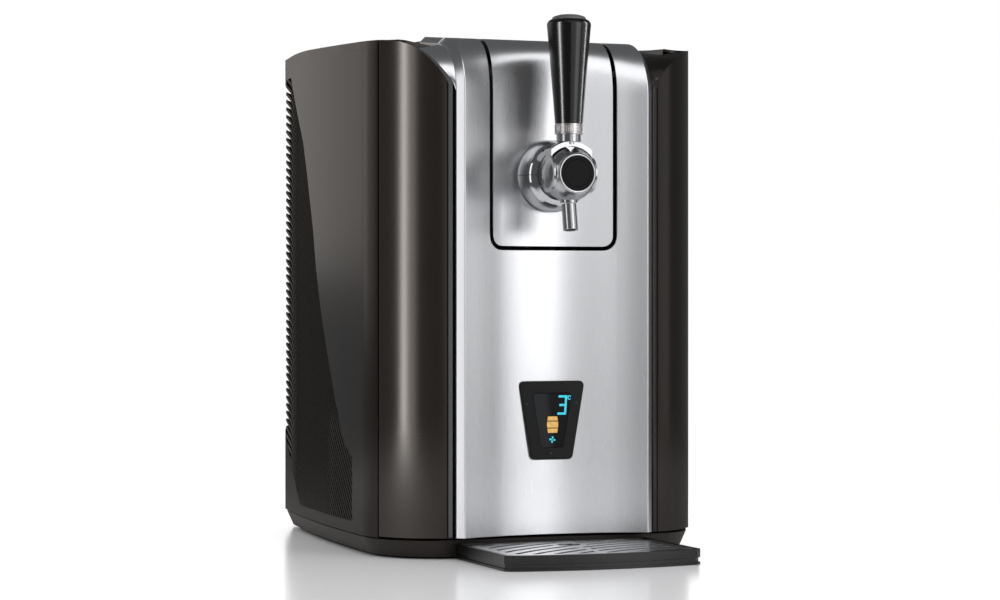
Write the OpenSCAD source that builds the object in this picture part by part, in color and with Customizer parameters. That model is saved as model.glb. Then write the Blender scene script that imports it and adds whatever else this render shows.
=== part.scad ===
// Mini keg beer dispenser: a counter-top cooler with a tap, a swing door, a lift-up tap lid
// and a pull-out drip tray. Millimetres, +Z up, front towards -Y, origin on the floor under
// the middle of the whole object.

/* [Body] */
// Half of the body's greatest width, at the front corners
body_half_w = 150.5; // [146:0.5:156]
// Rear face of the casing
rear_y = 249.5; // [246:0.5:252]
// Underside of the casing and of the door
case_z = 17; // [16:0.5:19]
// Height of the side walls' top edge at the door seam
side_top_z = 439; // [434:0.5:441]
// Wall thickness of the moulded casing
case_t = 2.5; // [2:0.5:3]

/* [Door] */
// Half width of the steel front, over its bevels
steel_half_w = 90; // [86:1:91]
// Half width of the steel front's face, inside the bevels
face_half_w = 84; // [79:1:85]
// Front edge of the steel face
face_edge_y = -140; // [-142:0.5:-139]
// Depth of the hollow in the steel face, at its middle
face_sag = 17; // [15:1:22]
// Top of the steel front, where it turns back
steel_top_z = 443; // [440:1:444]
// Radius of the steel front's top corner
corner_r = 48; // [44:1:50]
// Thickness of the steel skins
steel_t = 2; // [1.5:0.5:2]
// Seam between the door and the side walls
seam_y = -91; // [-94:0.5:-90]

/* [Tap lid] */
// Half width of the lid in the door's cut-out
lid_half_w = 55; // [53:0.5:55]
// Bottom edge of the lid
lid_z = 264.5; // [264:0.5:268]
// Gap between the lid and the door
lid_gap = 3.3; // [3.3:0.1:4]
// Rear end of the steel on top, where the lid is hinged
lid_rear_y = -40; // [-42:0.5:-38]

/* [Tap] */
// Height of the tap's axis
tap_z = 324.5; // [318:0.5:330]
// Distance of the lever's pivot in front of the origin
pivot_y = -164.5; // [-170:0.5:-164]
// Radius of the tap's ball
ball_r = 23; // [22:0.5:23]
// Front plane of the tap's badge
badge_y = -183.5; // [-187:0.5:-182]
// Radius of the badge disc
badge_r = 14.7; // [14:0.1:15]
// Bottom of the handle's grip
grip_z = 367; // [365:0.5:370]
// Height of the handle's top
handle_top_z = 459; // [455:0.5:462]
// Outside radius of the spout
spout_r = 6.4; // [5.5:0.1:7]
// Forward lean of the spout, in degrees
spout_lean = 10; // [6:1:12]

/* [Drip tray] */
// Half width of the tray
tray_half_w = 87; // [84:1:90]
// Front of the tray, at its middle
tray_front_y = -253; // [-256:1:-246]
// How far the tray's front bows out
tray_bow = 9; // [7:1:12]
// Height of the tray's rim
tray_h = 13; // [12:0.5:14]

/* [Keg chamber] */
// Half width of the chamber, inside
chamber_half_w = 105; // [100:1:105]
// Floor of the chamber
chamber_z = 40; // [38:1:42]
// Ceiling of the chamber
chamber_top_z = 401; // [380:1:402]
// Back wall of the chamber, inside
chamber_back_y = 123; // [120:1:124]

/* [Hidden] */

BROWN = [0.24, 0.22, 0.20];
STEEL = [0.78, 0.79, 0.81];
CHROME = [0.86, 0.87, 0.88];
BLACK = [0.05, 0.05, 0.05];
DARK = [0.12, 0.12, 0.12];
WHITE = [0.88, 0.88, 0.86];
FOAM = [0.80, 0.80, 0.74];
ALUMINIUM = [0.72, 0.73, 0.75];
GREEN = [0.10, 0.35, 0.20];
RUBBER = [0.09, 0.09, 0.09];

BIG = 700;            // longer than the object, for cutting blocks
EPS = 0.01;           // overlap of cutters
RISE = tan(2.5);        // rise of the side walls' top edge towards the rear
STEEL_RISE = 0.1057;  // rise of the steel strips on top
CAP_T = 7;            // height of the top cover's edge

// ---- plan outline of the casing ---------------------------------------------------------

CORNER_X = 84;                        // where the front corner starts to curve
CORNER_Y = -62;                       // where it has become the side wall
CORNER_B = 70;                        // its depth
CORNER_STEPS = 10;
SIDE_CURVE = 0.000236;                // how fast the side wall draws in towards the rear
REAR_R = 10;                          // rear corner radius

function side_x(y) =
    let (s = y - CORNER_Y) body_half_w - SIDE_CURVE * s * s;

// Right half of the outline, drawn in by d, from the front to the rear.
function half_outline(d) =
    let (ry = rear_y - REAR_R, rx = side_x(rear_y - REAR_R) - REAR_R)
    concat(
        [for (i = [0:CORNER_STEPS])
            let (t = 90 * (1 - i / CORNER_STEPS))
            [CORNER_X + (body_half_w - CORNER_X - d) * cos(t),
             CORNER_Y - (CORNER_B - d) * sin(t)]],
        [for (i = [1:5]) let (y = CORNER_Y + (ry - CORNER_Y) * i / 5) [side_x(y) - d, y]],
        [for (i = [1:5])
            let (t = 90 * i / 5)
            [rx + (REAR_R - d) * cos(t), ry + (REAR_R - d) * sin(t)]]);

function flip(points) =
    [for (i = [len(points) - 1:-1:0]) [-points[i][0], points[i][1]]];

module outline(d) {
    polygon(concat(half_outline(d), flip(half_outline(d))));
}

module outline_wall(outer, inner, z0, z1) {
    difference() {
        translate([0, 0, z0]) linear_extrude(z1 - z0) outline(outer);
        translate([0, 0, z0 - 1]) linear_extrude(z1 - z0 + 2) outline(inner);
    }
}

module box(lo, hi) {
    translate(lo) cube([hi[0] - lo[0], hi[1] - lo[1], hi[2] - lo[2]]);
}

module both_sides() {
    children();
    mirror([1, 0, 0]) children();
}

// A shape drawn in the (y, z) plane, run along X from x0 to x1.
module along_x(x0, x1) {
    translate([x0, 0, 0]) rotate([90, 0, 90]) linear_extrude(x1 - x0) children();
}

// A shape drawn in the (x, z) plane, run along Y from y0 to y1.
module along_y(y0, y1) {
    translate([0, y1, 0]) rotate([90, 0, 0]) linear_extrude(y1 - y0) children();
}

module pin_x(x0, x1, r, y, z, fn = 48) {
    translate([x0, y, z]) rotate([0, 90, 0]) cylinder(h = x1 - x0, r = r, $fn = fn);
}

module pin_y(y0, y1, r, x, z, fn = 48) {
    translate([x, y1, z]) rotate([90, 0, 0]) cylinder(h = y1 - y0, r = r, $fn = fn);
}

module pin_z(z0, z1, r, x, y, fn = 48) {
    translate([x, y, z0]) cylinder(h = z1 - z0, r = r, $fn = fn);
}

// Everything above the casing's sloping rim, lowered by drop.
module above_rim(drop) {
    translate([-BIG / 2, seam_y, side_top_z - drop])
        rotate([2.5, 0, 0]) translate([0, -BIG / 2, 0]) cube([BIG, BIG, 120]);
}

// ---- steel surface of door, lid and top strips ------------------------------------------

FACE_R = (face_half_w * face_half_w + face_sag * face_sag) / (2 * face_sag);
FACE_MID_Y = face_edge_y + face_sag;
CREST_Y = face_edge_y + corner_r;
ARC_STEPS = 8;
BEVEL = steel_half_w - face_half_w;

function face_y(x) = FACE_MID_Y - FACE_R + sqrt(FACE_R * FACE_R - x * x);
function steel_z(y) = steel_top_z + (y - CREST_Y) * STEEL_RISE;

// Side view of the steel at the offset x from the middle, sunk by d: bottom, arc, top end.
function steel_profile(x, z0, y1, d) =
    let (fy = face_y(min(abs(x), face_half_w)), cz = steel_top_z - corner_r)
    concat(
        [[fy + d, z0]],
        [for (i = [0:ARC_STEPS])
            let (t = 90 * i / ARC_STEPS, s = sin(t) * sin(t),
                 by = fy + (face_edge_y - fy) * s)
            [by + corner_r - (corner_r - d) * cos(t), cz + (corner_r - d) * sin(t)]],
        [[y1, steel_z(y1) - d]]);

function steel_ring(x, z0, y1, d0, d1) =
    let (a = steel_profile(x, z0, y1, d0), b = steel_profile(x, z0, y1, d1))
    concat(a, [for (i = [len(b) - 1:-1:0]) b[i]]);

// A bent steel sheet over the columns xs; depth gives each column's own sink.
module steel_sheet(xs, depth, z0, y1, t) {
    rings = [for (i = [0:len(xs) - 1]) steel_ring(xs[i], z0, y1, depth[i], depth[i] + t)];
    n = len(rings[0]);
    m = len(rings);
    half = n / 2;
    points = [for (i = [0:m - 1]) for (p = rings[i]) [xs[i], p[0], p[1]]];
    walls = [for (i = [0:m - 2]) for (j = [0:n - 1])
        let (a = i * n + j, b = i * n + (j + 1) % n)
        for (f = [[a, b, b + n], [a, b + n, a + n]]) f];
    ends = [for (j = [0:half - 2])
        let (a = j, b = j + 1, c = n - 2 - j, d = n - 1 - j)
        for (f = [[a, d, c], [a, c, b]]) f];
    far = [for (f = ends) [f[0] + (m - 1) * n, f[2] + (m - 1) * n, f[1] + (m - 1) * n]];
    polyhedron(points, concat(walls, ends, far));
}

function spread(x0, x1, n) = [for (i = [0:n]) x0 + (x1 - x0) * i / n];

// U-shaped cutter from the bottom edge z0 upwards, with rounded bottom corners.
module u_cut(half_w, z0, r, y0 = -200, y1 = 0) {
    along_y(y0, y1) {
        translate([-half_w, z0 + r]) square([2 * half_w, 300]);
        translate([-half_w + r, z0]) square([2 * half_w - 2 * r, r + 1]);
        for (s = [-1, 1]) translate([s * (half_w - r), z0 + r]) circle(r = r, $fn = 48);
    }
}

LID_R = 8.5;
DOOR_END_Y = CREST_Y + 3.5;     // rear end of the door's top
DOOR_GAP = 1;

// ---- base -------------------------------------------------------------------------------

PLINTH_Z = 1.5;
PLINTH_INSET = 8;

module base_plinth() color(DARK) {
    difference() {
        intersection() {
            hull() {
                translate([0, 0, PLINTH_Z]) linear_extrude(0.5) outline(PLINTH_INSET);
                translate([0, 0, case_z - 2.2]) linear_extrude(1.2) outline(2);
            }
            box([-BIG, -124, 0], [BIG, BIG, 100]);
        }
        // hollow underside
        box([-115, -100, -1], [115, 220, case_z - 5]);
    }
}

FEET = [[-100, -98], [100, -98], [-92, 222], [92, 222]];

module rubber_feet() color(RUBBER) {
    for (p = FEET) pin_z(0, PLINTH_Z, 9, p[0], p[1]);
}

// ---- casing -----------------------------------------------------------------------------

VENT_Z = 27;
VENT_FRONT_Y = -36;
VENT_TOP_Z = 430;
VENT_CORNER_X = 119.5;      // the vent runs round the rear corner to here

// Outline of the side vent in (y, z), grown by e. It is open round the rear corner.
function vent_points(e) = concat(
    [[262, 108 - e], [262, VENT_TOP_Z + e], [207 - e, VENT_TOP_Z + e]],
    [for (p = [[173, 394], [143, 365], [123, 331], [98, 280], [87, 247], [70, 212], [42, 167],
               [14, 126], [-11, 94]]) [p[0] - 1.2 * e, p[1]]],
    [[VENT_FRONT_Y - e, 82 + e], [VENT_FRONT_Y - e, VENT_Z - e], [157 + e, VENT_Z - e]]);

HINGE_X = 132.5;
HINGE_Y = -95;
HINGE_CLEAR_R = 13.2;

module side_panel(s) color(BROWN) {
    mirror([s < 0 ? 1 : 0, 0, 0]) difference() {
        intersection() {
            outline_wall(0, case_t, case_z, 470);
            box([60, seam_y + 0.5, 0], [BIG, 236, BIG]);
        }
        above_rim(CAP_T);
        pin_z(0, BIG, HINGE_CLEAR_R, HINGE_X, HINGE_Y);
        along_x(90, BIG) polygon(vent_points(0));
    }
}

module left_side_panel() side_panel(-1);
module right_side_panel() side_panel(1);

SLAT_PITCH = 14.6;
SLOT_H = 4.2;
SLAT_ANGLE = 45;

module vent_louvres(s) color(DARK) {
    mirror([s < 0 ? 1 : 0, 0, 0]) difference() {
        union() {
            intersection() {
                outline_wall(0.8, 4.3, 10, 450);
                along_x(VENT_CORNER_X + 0.4, BIG) polygon(vent_points(-0.4));
            }
            intersection() {
                outline_wall(case_t + 0.05, 4.3, 10, 450);
                along_x(VENT_CORNER_X - 5, BIG) polygon(vent_points(4));
            }
        }
        intersection() {
            along_x(VENT_CORNER_X + 3, BIG) polygon(vent_points(-6));
            for (i = [-14:30])
                translate([80, 0, i * SLAT_PITCH]) rotate([SLAT_ANGLE, 0, 0])
                    translate([0, -BIG / 2, 0]) cube([BIG / 2, BIG, SLOT_H]);
        }
    }
}

module left_vent_louvres() vent_louvres(-1);
module right_vent_louvres() vent_louvres(1);

TOP_MID_Z = 447.7;    // height of the top cover's middle at the steel strips' rear end

module top_block(d) {
    difference() {
        translate([0, 0, 400]) linear_extrude(80) outline(d);
        translate([-BIG / 2, lid_rear_y, TOP_MID_Z - d]) rotate([2, 0, 0])
            translate([0, -BIG / 2, 0]) cube([BIG, BIG, 100]);
        both_sides()
            translate([body_half_w, seam_y, side_top_z - d]) rotate([2.5, 0, 0])
                rotate([0, 7.5, 0]) translate([-BIG / 2, -BIG / 2, 0]) cube([BIG, BIG, 100]);
    }
}

module top_cover() color(BROWN) {
    difference() {
        top_block(0);
        difference() {
            top_block(case_t);
            // ribs that close the edge down to the side walls
            box([-BIG, -BIG, 0], [BIG, seam_y + 3, BIG]);
        }
        // underside of the rim
        difference() {
            box([-BIG / 2, -BIG / 2, 300], [BIG / 2, BIG / 2, 480]);
            above_rim(CAP_T);
        }
        // front of the side wings, behind the door seam
        box([-BIG, -BIG, 0], [BIG, seam_y + 0.5, BIG]);
        // room for the steel strips and the lid
        box([-steel_half_w - 0.8, -BIG, 0], [steel_half_w + 0.8, lid_rear_y + 0.6, BIG]);
        both_sides() pin_z(0, BIG, HINGE_CLEAR_R, HINGE_X, HINGE_Y);
    }
}

module top_trim(s) color(STEEL) {
    x0 = lid_half_w + lid_gap;
    y0 = DOOR_END_Y + DOOR_GAP;
    mirror([s < 0 ? 1 : 0, 0, 0]) difference() {
        union() {
            along_x(x0, face_half_w)
                polygon([[y0, steel_z(y0) - 4], [lid_rear_y, steel_z(lid_rear_y) - 4],
                         [lid_rear_y, steel_z(lid_rear_y)], [y0, steel_z(y0)]]);
            hull() for (p = [[face_half_w - EPS, 0], [steel_half_w - 1, BEVEL - 1]])
                along_x(p[0], p[0] + 1)
                    polygon([[y0, steel_z(y0) - 10], [lid_rear_y, steel_z(lid_rear_y) - 10],
                             [lid_rear_y, steel_z(lid_rear_y) - p[1]],
                             [y0, steel_z(y0) - p[1]]]);
            // bearing block of the lid's hinge pin
            box([x0, LID_AXIS_Y - 5, LID_AXIS_Z - 6], [x0 + 10, LID_AXIS_Y + 3.5, LID_AXIS_Z + 3]);
            // legs down to the insulation block
            box([x0 + 2, -80, 424], [x0 + 8, -50, steel_z(-80) - 2]);
        }
        pin_x(x0 - 1, x0 + 8, LID_PIN_R, LID_AXIS_Y, LID_AXIS_Z);
    }
}

module left_top_trim() top_trim(-1);
module right_top_trim() top_trim(1);

GRILLE_HALF_W = 78;
GRILLE_Z = [130, 330];

module rear_panel() color(BROWN) {
    difference() {
        intersection() {
            outline_wall(0, case_t, case_z, 470);
            box([-BIG, 236, 0], [BIG, BIG, BIG]);
        }
        above_rim(CAP_T);
        box([-GRILLE_HALF_W, 200, GRILLE_Z[0]], [GRILLE_HALF_W, BIG, GRILLE_Z[1]]);
        box([INLET_X - 15, 200, INLET_Z - 12], [INLET_X + 15, BIG, INLET_Z + 12]);
        for (p = SCREWS) pin_y(230, BIG, 1.7, p[0], p[1]);
        both_sides() along_x(VENT_CORNER_X, BIG) polygon(vent_points(0));
    }
}

SCREWS = [for (x = [-95, 95]) for (z = [45, 180, 300, 415]) [x, z]];

module case_screws() color(DARK) {
    for (p = SCREWS) {
        pin_y(rear_y, rear_y + 1.5, 3.6, p[0], p[1]);
        pin_y(rear_y - 8, rear_y, 1.5, p[0], p[1]);
    }
}

module rear_grille() color(DARK) {
    difference() {
        union() {
            box([-GRILLE_HALF_W + 0.2, rear_y - 2.5, GRILLE_Z[0] + 0.2],
                [GRILLE_HALF_W - 0.2, rear_y - 0.5, GRILLE_Z[1] - 0.2]);
            box([-GRILLE_HALF_W - 4, rear_y - 4.5, GRILLE_Z[0] - 4],
                [GRILLE_HALF_W + 4, rear_y - 2.5, GRILLE_Z[1] + 4]);
        }
        for (z = [GRILLE_Z[0] + 8:10:GRILLE_Z[1] - 10])
            for (x = [-70, -22, 26])
                box([x, 200, z], [x + 44, BIG, z + 5]);
    }
}

FRAME_Y = [-88, -84];
FRAME_HALF_W = 117;

module front_frame() color(DARK) {
    difference() {
        union() {
            box([-FRAME_HALF_W, FRAME_Y[0], case_z], [FRAME_HALF_W, FRAME_Y[1], 428]);
            // returns to the side walls
            both_sides() {
                box([FRAME_HALF_W - 2.5, FRAME_Y[1] - EPS, case_z], [FRAME_HALF_W, -72, 424]);
                box([FRAME_HALF_W - EPS, -74.5, case_z], [144, -72, 424]);
            }
        }
        box([-chamber_half_w, -BIG, chamber_z], [chamber_half_w, BIG, chamber_top_z]);
    }
}

ARM_ANGLE = 42;
ARM_T = 3;
PIN_R = 2.5;
ARM_Z = [24, 408];          // lower and upper bracket

module hinge_brackets() color(ALUMINIUM) {
    for (z = ARM_Z) difference() {
        union() {
            translate([0, 0, z]) linear_extrude(ARM_T) difference() {
                union() {
                    translate([-HINGE_X, HINGE_Y]) circle(r = 4.6, $fn = 48);
                    translate([-HINGE_X, HINGE_Y]) rotate(ARM_ANGLE)
                        translate([0, -2.5]) square([22, 5]);
                }
                translate([-FRAME_HALF_W, -120]) square([40, 60]);
            }
            box([-119.5, -85.5, z - 6], [-FRAME_HALF_W, -76, z + 9]);
        }
        pin_z(z - 1, z + ARM_T + 1, PIN_R, -HINGE_X, HINGE_Y);
    }
}

BOSS_Z = [28, 396];
BOSS_H = 11;

module hinge_pins() color(CHROME) {
    pin_z(ARM_Z[0], BOSS_Z[0] + BOSS_H - 1, PIN_R, -HINGE_X, HINGE_Y);
    pin_z(BOSS_Z[1] + 1, ARM_Z[1] + ARM_T, PIN_R, -HINGE_X, HINGE_Y);
}

module latch_strike() color(ALUMINIUM) {
    box([106, FRAME_Y[0] - 0.8, 200], [115, FRAME_Y[0], 240]);
}

// ---- keg chamber and cooling ------------------------------------------------------------

LINER_T = 3;
COLD_X = 22;
COLD_Z = [238, 282];
FAN_Z = 260;

module chamber_liner() color(WHITE) {
    difference() {
        box([-chamber_half_w - LINER_T, FRAME_Y[1], chamber_z - LINER_T],
            [chamber_half_w + LINER_T, chamber_back_y + LINER_T, chamber_top_z + LINER_T]);
        box([-chamber_half_w, -BIG, chamber_z], [chamber_half_w, chamber_back_y, chamber_top_z]);
        box([-COLD_X, 0, COLD_Z[0]], [COLD_X, BIG, COLD_Z[1]]);
        pin_y(100, 140, 6, COUPLER_X, COUPLER_Z);
    }
}

FOAM_BACK_Y = 146;

module chamber_insulation() color(FOAM) {
    difference() {
        box([-123, -71, case_z + 3], [123, FOAM_BACK_Y, 424]);
        box([-chamber_half_w - LINER_T, -BIG, chamber_z - LINER_T],
            [chamber_half_w + LINER_T, chamber_back_y + LINER_T, chamber_top_z + LINER_T]);
        box([-COLD_X, 0, COLD_Z[0]], [COLD_X, BIG, COLD_Z[1]]);
        pin_y(100, 160, 6, COUPLER_X, COUPLER_Z);
    }
}

KEG_Y = 8;
KEG_R = 94;

module keg_stand() color(DARK) {
    difference() {
        pin_z(chamber_z, chamber_z + 4, 88, 0, KEG_Y, 96);
        pin_z(chamber_z - 1, chamber_z + 5, 74, 0, KEG_Y, 96);
    }
}

COUPLER_X = -60;
COUPLER_Z = 60;

module air_coupler() color(BLACK) {
    difference() {
        union() {
            pin_y(112, 123, 9, COUPLER_X, COUPLER_Z);
            pin_y(123, 150, 5.8, COUPLER_X, COUPLER_Z);
        }
        pin_y(100, 160, 2, COUPLER_X, COUPLER_Z);
    }
}

module air_hose() color([0.75, 0.78, 0.80]) {
    difference() {
        pin_y(150, 170, 4, COUPLER_X, COUPLER_Z);
        pin_y(149, 171, 2.4, COUPLER_X, COUPLER_Z);
    }
}

module air_pump() color(DARK) {
    difference() {
        union() {
            pin_y(172, 214, 19, COUPLER_X, COUPLER_Z);
            box([COUPLER_X - 24, 176, case_z - 1], [COUPLER_X + 24, 210, COUPLER_Z - 8]);
            pin_y(170, 173, 6, COUPLER_X, COUPLER_Z);
        }
        pin_y(169, 178, 2.4, COUPLER_X, COUPLER_Z);
    }
}

module cold_sink() color(ALUMINIUM) {
    box([-COLD_X + 0.3, chamber_back_y - 3, COLD_Z[0] + 0.3],
        [COLD_X - 0.3, FOAM_BACK_Y - 4, COLD_Z[1] - 0.3]);
    box([-34, chamber_back_y - 3, FAN_Z - 34], [34, chamber_back_y - 0.2, FAN_Z + 34]);
    for (i = [-6:6])
        box([i * 5.2 - 0.8, chamber_back_y - 8, FAN_Z - 34],
            [i * 5.2 + 0.8, chamber_back_y - 3 + EPS, FAN_Z + 34]);
}

module thermoelectric_module() color(WHITE) {
    box([-20, FOAM_BACK_Y - 4, FAN_Z - 20], [20, FOAM_BACK_Y, FAN_Z + 20]);
}

module hot_sink() color(ALUMINIUM) {
    box([-50, FOAM_BACK_Y, FAN_Z - 50], [50, FOAM_BACK_Y + 6, FAN_Z + 50]);
    for (i = [-9:9])
        box([i * 5.4 - 0.8, FOAM_BACK_Y + 6 - EPS, FAN_Z - 50],
            [i * 5.4 + 0.8, FOAM_BACK_Y + 32, FAN_Z + 50]);
}

// Square fan frame of half size w, with its spider and a shaft for the rotor.
module fan_frame(w, y0, y1, bore_r, shaft_r, spider_y) {
    difference() {
        box([-w, y0, FAN_Z - w], [w, y1, FAN_Z + w]);
        pin_y(y0 - 1, y1 + 1, bore_r, 0, FAN_Z, 96);
    }
    for (a = [45, 135])
        translate([0, spider_y, FAN_Z]) rotate([0, a, 0])
            translate([-bore_r - 1, 0, -1.5]) cube([2 * bore_r + 2, 2, 3]);
    pin_y(spider_y, spider_y + 2, bore_r * 0.3, 0, FAN_Z);
    pin_y(spider_y - (y1 - y0) * 0.55, spider_y + EPS, shaft_r, 0, FAN_Z);
}

// Rotor with a hub, a bore for the shaft and tilted blades.
module fan_rotor(y0, y1, hub_r, tip_r, bore_r, blades) {
    difference() {
        union() {
            pin_y(y0, y1, hub_r, 0, FAN_Z);
            for (i = [0:blades - 1])
                translate([0, (y0 + y1) / 2, FAN_Z]) rotate([0, i * 360 / blades, 0])
                    rotate([0, 0, 32]) translate([-0.7, -(y1 - y0) * 0.45, hub_r - 1])
                        cube([1.4, (y1 - y0) * 0.9, tip_r - hub_r + 1]);
        }
        pin_y(y0 + 1.5, y1 + 1, bore_r, 0, FAN_Z);
    }
}

COLD_FAN_Y = [104.5, 114.5];
HOT_FAN_Y = [FOAM_BACK_Y + 34, FOAM_BACK_Y + 59];

module cold_fan_frame() color(BLACK)
    fan_frame(30, COLD_FAN_Y[0], COLD_FAN_Y[1], 28, 1.5, COLD_FAN_Y[1] - 2);

module cold_fan_rotor() color(BLACK)
    fan_rotor(COLD_FAN_Y[0] + 1, COLD_FAN_Y[1] - 2.6, 10, 26.5, 1.55, 7);

module hot_fan_frame() color(BLACK)
    fan_frame(46, HOT_FAN_Y[0], HOT_FAN_Y[1], 43.5, 2, HOT_FAN_Y[1] - 2);

module hot_fan_rotor() color(BLACK)
    fan_rotor(HOT_FAN_Y[0] + 4, HOT_FAN_Y[1] - 3, 17, 41.5, 2.05, 7);

module power_supply() color(ALUMINIUM) {
    box([22, 162, case_z - 1], [104, 214, 62]);
}

module control_board() color(GREEN) {
    box([-70, FOAM_BACK_Y, 340], [70, FOAM_BACK_Y + 1.6, 404]);
    for (x = [-50, -10, 34]) box([x, FOAM_BACK_Y + 1.6, 352], [x + 22, FOAM_BACK_Y + 9, 372]);
}

INLET_X = 60;
INLET_Z = 86;

module mains_inlet() color(BLACK) {
    difference() {
        union() {
            box([INLET_X - 14.8, rear_y - 24, INLET_Z - 11.8],
                [INLET_X + 14.8, rear_y, INLET_Z + 11.8]);
            box([INLET_X - 20, rear_y - 5, INLET_Z - 15],
                [INLET_X + 20, rear_y - case_t, INLET_Z + 15]);
        }
        box([INLET_X - 12, rear_y - 20, INLET_Z - 8], [INLET_X + 12, BIG, INLET_Z + 8]);
    }
    for (p = [[-7, -2], [7, -2], [0, 3]])
        box([INLET_X + p[0] - 1, rear_y - 21, INLET_Z + p[1] - 2.5],
            [INLET_X + p[0] + 1, rear_y - 5, INLET_Z + p[1] + 2.5]);
}

// ---- lid hinge --------------------------------------------------------------------------

LID_AXIS_Y = lid_rear_y - 4;
LID_AXIS_Z = steel_z(lid_rear_y - 4) - 4.2;
LID_PIN_R = 1.5;

module lid_hinge_pin() color(CHROME) {
    pin_x(-lid_half_w - lid_gap - 8, lid_half_w + lid_gap + 8, LID_PIN_R, LID_AXIS_Y, LID_AXIS_Z);
}

// ---- door -------------------------------------------------------------------------------

DOOR_Z = case_z + 1;
CORE_Y = [-113, -93.5];
LINER_Y = -91;
CORE_HALF_W = 115;
LEG_X = 61.5;
CUT_Z = lid_z - lid_gap;

module door_skin() color(STEEL) {
    columns = concat([-steel_half_w], spread(-face_half_w, face_half_w, 12), [steel_half_w]);
    sink = concat([BEVEL], [for (i = [0:12]) 0], [BEVEL]);
    difference() {
        union() {
            steel_sheet(columns, sink, DOOR_Z, DOOR_END_Y, steel_t);
            // side returns behind the bevels
            both_sides() along_x(steel_half_w - steel_t, steel_half_w) {
                d = BEVEL;
                polygon(steel_ring(face_half_w, DOOR_Z, DOOR_END_Y, d, d + 14));
            }
        }
        u_cut(lid_half_w + lid_gap, CUT_Z, LID_R + lid_gap);
        // hole for the display
        along_y(-150, -100) window([BEZEL_TOP[0] + 0.1, BEZEL_TOP[1] + 0.1],
                                   [BEZEL_BOTTOM[0] + 0.1, BEZEL_BOTTOM[1] - 0.1], 4.6);
    }
}

// One side of the door's moulded cheeks, as a block sunk by d.
module cheek_block(d) {
    intersection() {
        translate([0, 0, DOOR_Z - 1 - (d > 0 ? 5 : 0)]) linear_extrude(BIG) outline(d);
        box([steel_half_w + 2 - (d > 0 ? 5 : 0), -BIG, 0],
            [BIG, seam_y - 0.5 + (d > 0 ? 5 : 0), BIG]);
        along_x(50, 200) polygon(concat(
            [[-133 + d, 0]],
            [for (i = [0:8]) let (t = 90 * i / 8)
                [-133 + corner_r - (corner_r - d) * cos(t),
                 side_top_z + 1 - corner_r + (corner_r - d) * sin(t)]],
            [[0, side_top_z + 1 - d + 85 * RISE], [0, 0]]));
    }
}

module cheek_shell() {
    x0 = steel_half_w + 2;
    difference() {
        cheek_block(0);
        cheek_block(case_t);
    }
    // inner wall along the groove beside the steel
    intersection() {
        cheek_block(0);
        box([x0, -BIG, 0], [x0 + 2, CORE_Y[0], BIG]);
    }
}

module left_door_cheek() color(BROWN) {
    difference() {
        union() {
            mirror([1, 0, 0]) cheek_shell();
            for (z = BOSS_Z) mirror([1, 0, 0]) intersection() {
                translate([0, 0, z]) linear_extrude(BOSS_H) outline(0.5);
                union() {
                    pin_z(z, z + BOSS_H, 6, HINGE_X, HINGE_Y);
                    translate([HINGE_X, HINGE_Y, z]) rotate([0, 0, -45]) translate([0, -4, 0])
                        cube([14, 8, BOSS_H]);
                }
            }
        }
        for (z = BOSS_Z) pin_z(z - 1, z + BOSS_H + 1, PIN_R + 0.06, -HINGE_X, HINGE_Y);
    }
}

module right_door_cheek() color(BROWN) cheek_shell();

module door_slab(half_w, z0, z1, y0, y1, inner_x, cut_z) {
    difference() {
        box([-half_w, y0, z0], [half_w, y1, z1]);
        box([-inner_x, y0 - 1, cut_z], [inner_x, y1 + 1, BIG]);
    }
}

module door_core() color(FOAM) {
    difference() {
        door_slab(CORE_HALF_W, 24, 412, CORE_Y[0], CORE_Y[1], LEG_X, CUT_Z - 4);
        box([-34, CORE_Y[0] - 1, 78], [34, CORE_Y[0] + 6, 154]);
    }
}

module door_liner() color(WHITE)
    door_slab(CORE_HALF_W + 1, 20, 419, CORE_Y[1], LINER_Y, LEG_X, CUT_Z - 2);

module door_gasket() color(RUBBER) {
    difference() {
        box([-112, LINER_Y, 30], [112, FRAME_Y[0] - 0.4, 412]);
        box([-107.5, -BIG, 35], [107.5, BIG, BIG]);
        box([105, -BIG, 195], [BIG, BIG, 245]);
    }
}

module door_latch() color(BLACK)
    box([107.5, LINER_Y, 198], [113.5, FRAME_Y[0] - 1.1, 242]);

// ---- display ----------------------------------------------------------------------------

BEZEL_Y = FACE_MID_Y - 3.5;
BEZEL_TOP = [30.4, 149.4];      // half width and height of the window's top edge
BEZEL_BOTTOM = [18.8, 82];
SCREEN_TOP = [17.6, 138.8];
SCREEN_BOTTOM = [9.8, 92.5];

// Window that narrows downwards, with rounded corners.
module window(top, bottom, r) {
    hull() for (s = [-1, 1]) {
        translate([s * (top[0] - r * 1.2), top[1] - r]) circle(r = r, $fn = 32);
        translate([s * (bottom[0] - r * 0.85), bottom[1] + r]) circle(r = r, $fn = 32);
    }
}

module display_bezel() color(BLACK) {
    difference() {
        along_y(BEZEL_Y, CORE_Y[0]) window(BEZEL_TOP, BEZEL_BOTTOM, 4.5);
        // screen pocket
        along_y(BEZEL_Y - 1, BEZEL_Y + 1.5) window(SCREEN_TOP, SCREEN_BOTTOM, 2.5);
        // hollow for the board
        along_y(BEZEL_Y + 3.5, CORE_Y[0] + 1) window([26, 144], [15, 88], 3);
    }
}

module display_screen() color([0.02, 0.03, 0.04])
    along_y(BEZEL_Y + 0.3, BEZEL_Y + 1.5)
        window([SCREEN_TOP[0] - 0.1, SCREEN_TOP[1] - 0.1],
               [SCREEN_BOTTOM[0] - 0.1, SCREEN_BOTTOM[1] + 0.1], 2.4);

module display_board() color(GREEN)
    box([-12, -118, 92], [12, -116.4, 138]);

// ---- tap lid ----------------------------------------------------------------------------

SHANK_R = 12;
LID_BACK_Y = -96;

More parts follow.
